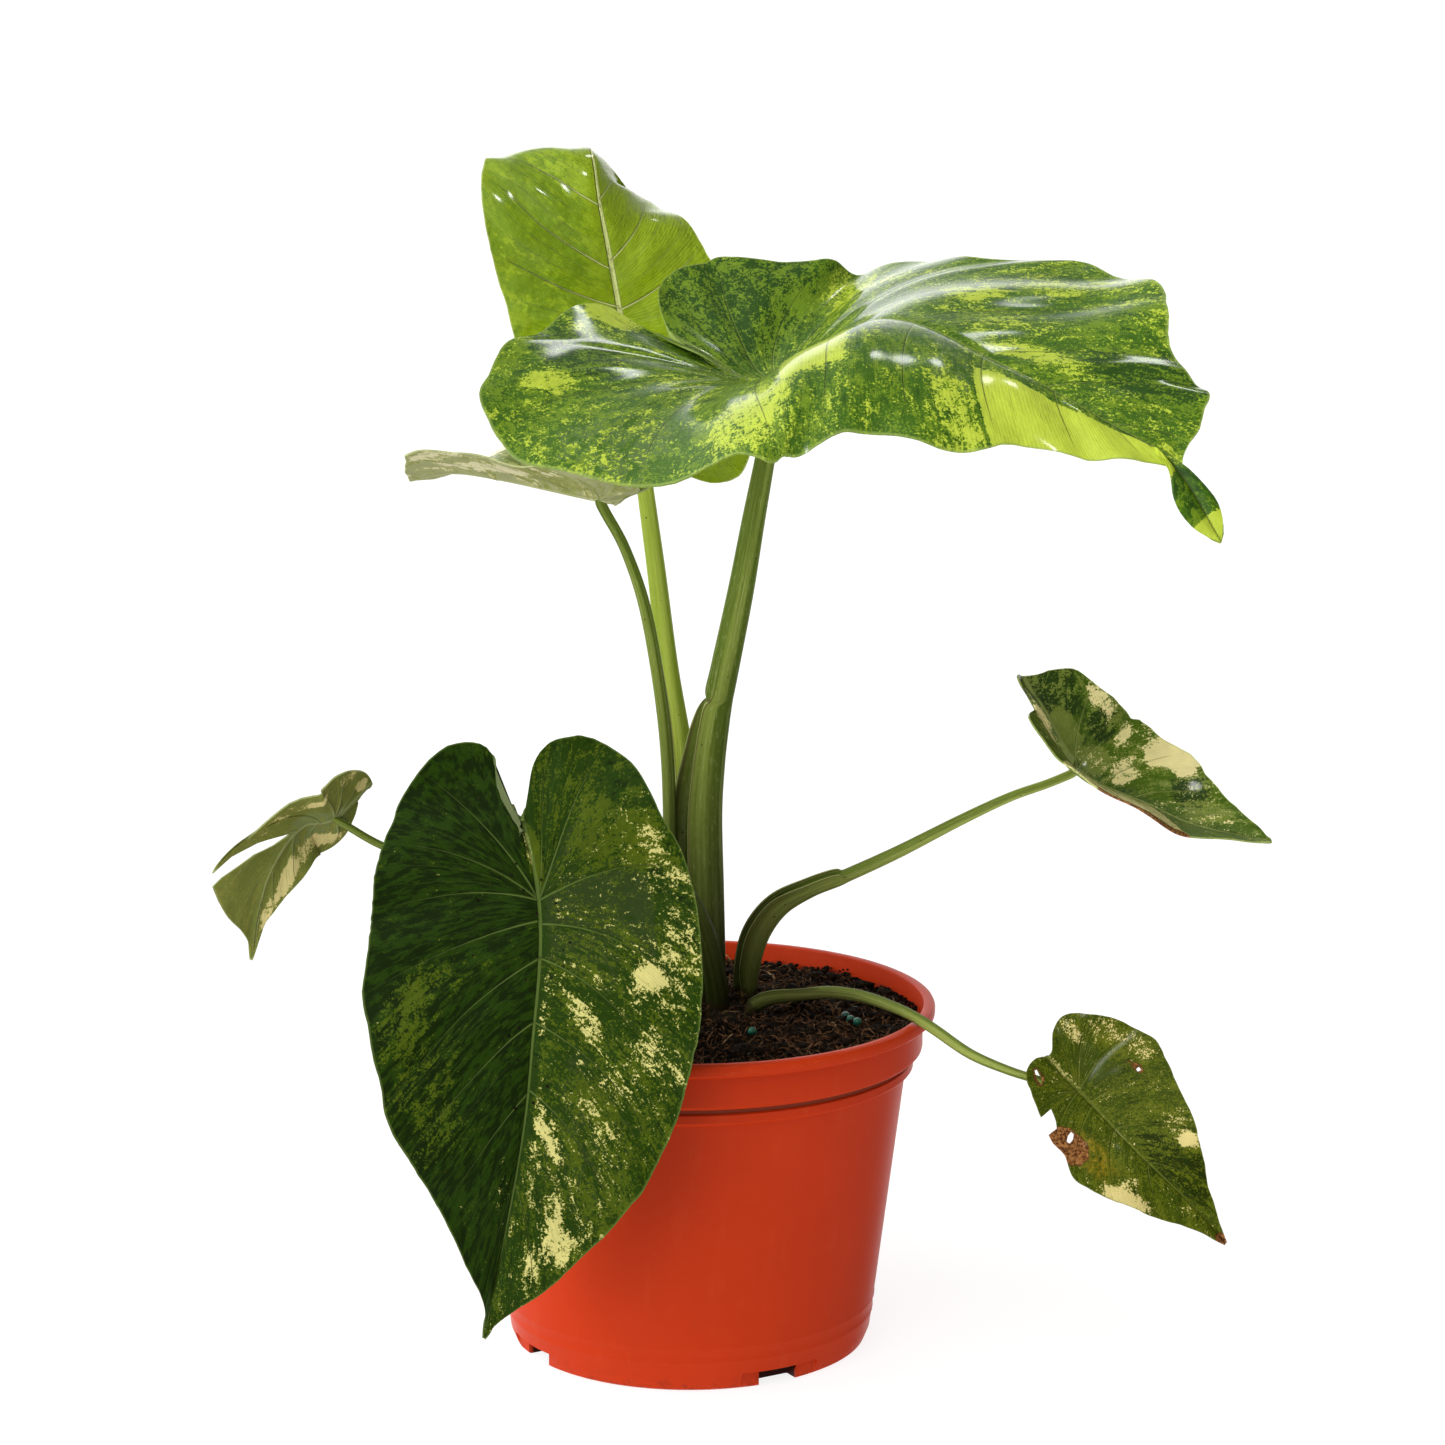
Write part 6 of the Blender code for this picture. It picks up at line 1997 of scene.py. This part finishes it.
LOW_RIGHT = Blade(
    "blade_low_right",
    [
        ((101, -44, 112), (0.15, -0.80, 0.55), (6, 6, 0.0, 0.0)),
        ((119, -52, 95), (0.15, -0.85, 0.50), (6, 6, 0.0, 0.0)),
        ((136, -63, 79), (0.10, -0.95, 0.30), (6, 6, 0.0, 0.0)),
        ((153, -67, 63), (0.10, -1.00, 0.15), (6, 6, 0.0, 0.0)),
        ((163, -66, 51), (0.10, -1.00, 0.10), (6, 6, 0.0, 0.0)),
    ],
    joint=1,
    right=[
        (0, -13), (3, -16), (8, -15), (12, -10), (14.5, -4), (16.5, 2), (18, 8), (18, 13), (20, 20),
        (17, 28), (13, 37), (9, 47), (4, 56), (0, 65),
    ],
    left=[
        (0, -13), (-3, -15), (-8, -19), (-14, -20), (-19, -14), (-24, -8), (-28, 3), (-25, 13),
        (-21, 26), (-14, 39), (-7, 49), (-2, 59), (0, 65),
    ],
    right_veins=[(0, 2.0), (0, 4.0), (0, 6.0), (6, 8.0), (16, 9.4), (30, 10.8)],
    left_veins=[(0, 2.3), (0, 4.0), (0, 5.6), (5, 7.2), (16, 8.5), (30, 9.8)],
    finish=SPOILT,
    wave=(0.7, 24.0, 5.0),
    holes=(
        [(18, -1.8), (10.9, -1.6), (12.5, 2.4), (14, 4.7), (20, 4.7)],
        [(11.3, 8.4), (13.2, 8.8), (14.8, 10), (14.4, 11), (12.6, 10.6), (11.2, 9.4)],
        [(5.4, -13.6), (6.4, -13.8), (7.8, -11.6), (8.2, -9.6), (7.2, -9.4), (6, -11.4)],
        [(-18.6, 6.4), (-17.4, 6.4), (-17.2, 7.4), (-18.4, 7.8)],
    ),
    quilt=0.35,
    wobble=0.8,
    marks=(
        *spots(
            Mark.CREAM, (-11.5, -14.5, 7, 3, 0, 0.5), (-19, -8, 6, 5, 0, 0.26),
            (-23, 2, 8, 4, -10, 0.35), (-0.6, -8, 9, 1.2, 0, 0.4), (-6, 38, 18, 8, 0, -0.3),
            (-13.2, 34, 3.2, 4.2, 30, 1.0), (-14.5, 28, 6, 5, 0, 0.34), (13, 33, 10, 3.6, -23, 0.8),
            (9, 30.5, 4, 2, -60, 0.5),
        ),
        *spots(
            Mark.PALE, (-18, -7, 7, 6, 0, 0.2), (-21, 2, 10, 7, 0, 0.2), (-9.5, -4, 9, 6, 0, -0.3),
            (-6, 40, 18, 7, 0, -0.1),
        ),
        *spots(Mark.TONE, (-9.5, -4, 10, 7, 0, 0.3), (-6, 38, 20, 9, 0, -0.3)),
        *spots(Mark.HALO, (12, 16, 15, 7, -10, 0.5)),
        *spots(
            Mark.BROWN, (15.5, 10.5, 9.5, 6.5, -15, 1.1), (7, -11.5, 5, 2.6, 30, 0.5),
            (-18, 7, 2.6, 2.2, 0, 0.5), (-17.5, 4, 2.0, 1.8, 0, 0.4), (0, 64, 4, 3, 0, 0.9),
        ),
    ),
)

STALK_FOOT = 107.3
# The low and rise of each stalk finish set its painted shade towards the foot.
OLIVE_STALK = StalkFinish("olive_stalk", srgb(134, 150, 66), srgb(88, 108, 34))
LIME_STALK = StalkFinish(
    "lime_stalk", srgb(184, 200, 84), srgb(150, 170, 58), flush_share=0.03, low=0.4,
)
THIN_STALK = StalkFinish(
    "thin_stalk", srgb(156, 168, 84), srgb(104, 122, 44), flush_share=0.2, low=0.3,
    rise=(-10.0, 90.0),
)

STALKS = (
    Stalk(
        "stalk_top",
        [
            (6.5, 8, STALK_FOOT, 4.8, 1.0, 6.0, 11.0), (6.5, 8, 122, 4.8, 1.0, 6.0, 11.5),
            (6.0, 8, 145, 4.8, 1.0, 6.0, 11.5), (5.5, 8, 168, 4.8, 1.0, 5.6, 11.0),
            (6.5, 8, 185, 4.7, 0.95, 5.0, 9.2), (7.9, 7.9, 197, 4.6, 0.9, 4.7, 7.6),
            (8.7, 7.8, 203, 4.6, 0.7, 4.6, 6.2), (9.3, 7.6, 206.5, 4.55), (11, 7, 215, 4.5),
            (16, 5, 240, 4.1), (20, 3, 263, 3.6), (24, 1, 285, 3.1),
        ],
        (-1.0, 0.1, 0.0), TOP, OLIVE_STALK,
    ),
    Stalk(
        "stalk_upright",
        [
            (0.2, 16.6, STALK_FOOT, 3.2, 0.8, 3.4, 4.8), (0.2, 16.6, 135, 3.3, 0.8, 3.4, 5.0),
            (-0.4, 17, 162, 3.4, 0.8, 3.4, 5.0), (-2.4, 20.5, 185, 3.4, 0.6, 3.4, 4.4),
            (-7.0, 30, 211, 3.3), (-11, 50, 239, 3.0), (-15.5, 70, 268, 2.7), (-18.5, 79, 292, 2.4),
        ],
        (-1.0, 0.1, 0.0), UPRIGHT, LIME_STALK,
    ),
    Stalk(
        "stalk_high_left",
        [
            (-7.2, 9.8, STALK_FOOT, 2.1), (-6.6, 9.6, 135, 2.1), (-6.4, 9.4, 160, 2.1),
            (-7.0, 9.4, 185, 2.1), (-9.4, 9.6, 208, 2.0), (-14, 10, 234, 1.9),
            (-20, 10.8, 252, 1.7),
        ],
        (1.0, 0.1, 0.0), HIGH_LEFT, OLIVE_STALK,
    ),
    Stalk(
        "stalk_front",
        [
            (9.0, -1.5, STALK_FOOT, 4.0, 0.5, 2.8, 2.8), (7.5, -2.5, 120, 3.6, 0.4, 3.4, 3.4),
            (3.0, -7.0, 138, 3.0, 0.2, 3.2, 3.2), (-6.0, -16, 155, 2.6), (-17, -32, 167, 2.3),
            (-30, -50, 171, 2.1), (-39, -63, 166, 2.0),
        ],
        (0.1, 0.6, 0.8), FRONT, OLIVE_STALK,
    ),
    Stalk(
        "stalk_small_left",
        [
            (-1.0, -1.0, STALK_FOOT, 2.3), (-4.0, -3.0, 118, 2.1), (-14, -7.5, 131, 1.8),
            (-31, -14, 141, 1.5), (-52, -23, 150, 1.3), (-74, -31, 159, 1.2), (-93, -37, 168, 1.2),
        ],
        (0.0, 0.4, 1.0), SMALL_LEFT, OLIVE_STALK,
    ),
    Stalk(
        "stalk_small_right",
        [
            (17.8, 12.5, STALK_FOOT, 3.3, 0.8, 3.6, 3.6), (18.8, 12.5, 117, 3.4, 1.0, 5.0, 4.2),
            (22, 12.3, 128, 3.4, 1.0, 5.6, 5.0), (28.5, 12, 137, 3.1, 1.0, 5.2, 4.6),
            (38, 11, 143, 2.7, 0.8, 4.2, 3.8), (47, 10.3, 146.6, 2.4, 0.8, 3.8, 3.4),
            (51, 10, 148.4, 2.15), (66, 8, 156, 2.0), (85, 4, 167, 1.7), (100, 1, 175, 1.5),
            (111, -1, 179.5, 1.4),
        ],
        (-0.6, -0.45, 0.7), SMALL_RIGHT, THIN_STALK,
    ),
    Stalk(
        "stalk_low_right",
        [
            (19.5, -5, STALK_FOOT, 2.5, 0.4, 2.4, 2.4), (21, -6, 110, 2.5, 0.5, 2.8, 2.8),
            (26, -8, 112.8, 2.4, 0.5, 2.8, 2.8), (35, -9.5, 114.2, 2.2, 0.3, 2.5, 2.5),
            (44, -10.5, 115, 2.0), (53.5, -14, 114.7, 1.9), (62.5, -22, 113.7, 1.8),
            (69.5, -30, 112.4, 1.7), (75.5, -36, 110, 1.7), (86, -43.5, 104.4, 1.6),
            (97, -46.5, 100.2, 1.4), (107, -47, 97, 1.3),
        ],
        (0.0, 0.3, 1.0), LOW_RIGHT, THIN_STALK,
    ),
)


def main() -> None:
    """Builds every piece."""
    logging.basicConfig(level=logging.INFO, format="%(name)s: %(message)s")
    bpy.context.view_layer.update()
    Studio().build()
    Pot().build()
    PottingMix().build()
    Crown().build()
    Prills().build()
    for blade in (FRONT, TOP, UPRIGHT, HIGH_LEFT, SMALL_LEFT, SMALL_RIGHT, LOW_RIGHT):
        blade.build()
    for stalk in STALKS:
        stalk.build()
    Grit(FRONT).build()
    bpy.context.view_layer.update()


if __name__ == "__main__":
    main()
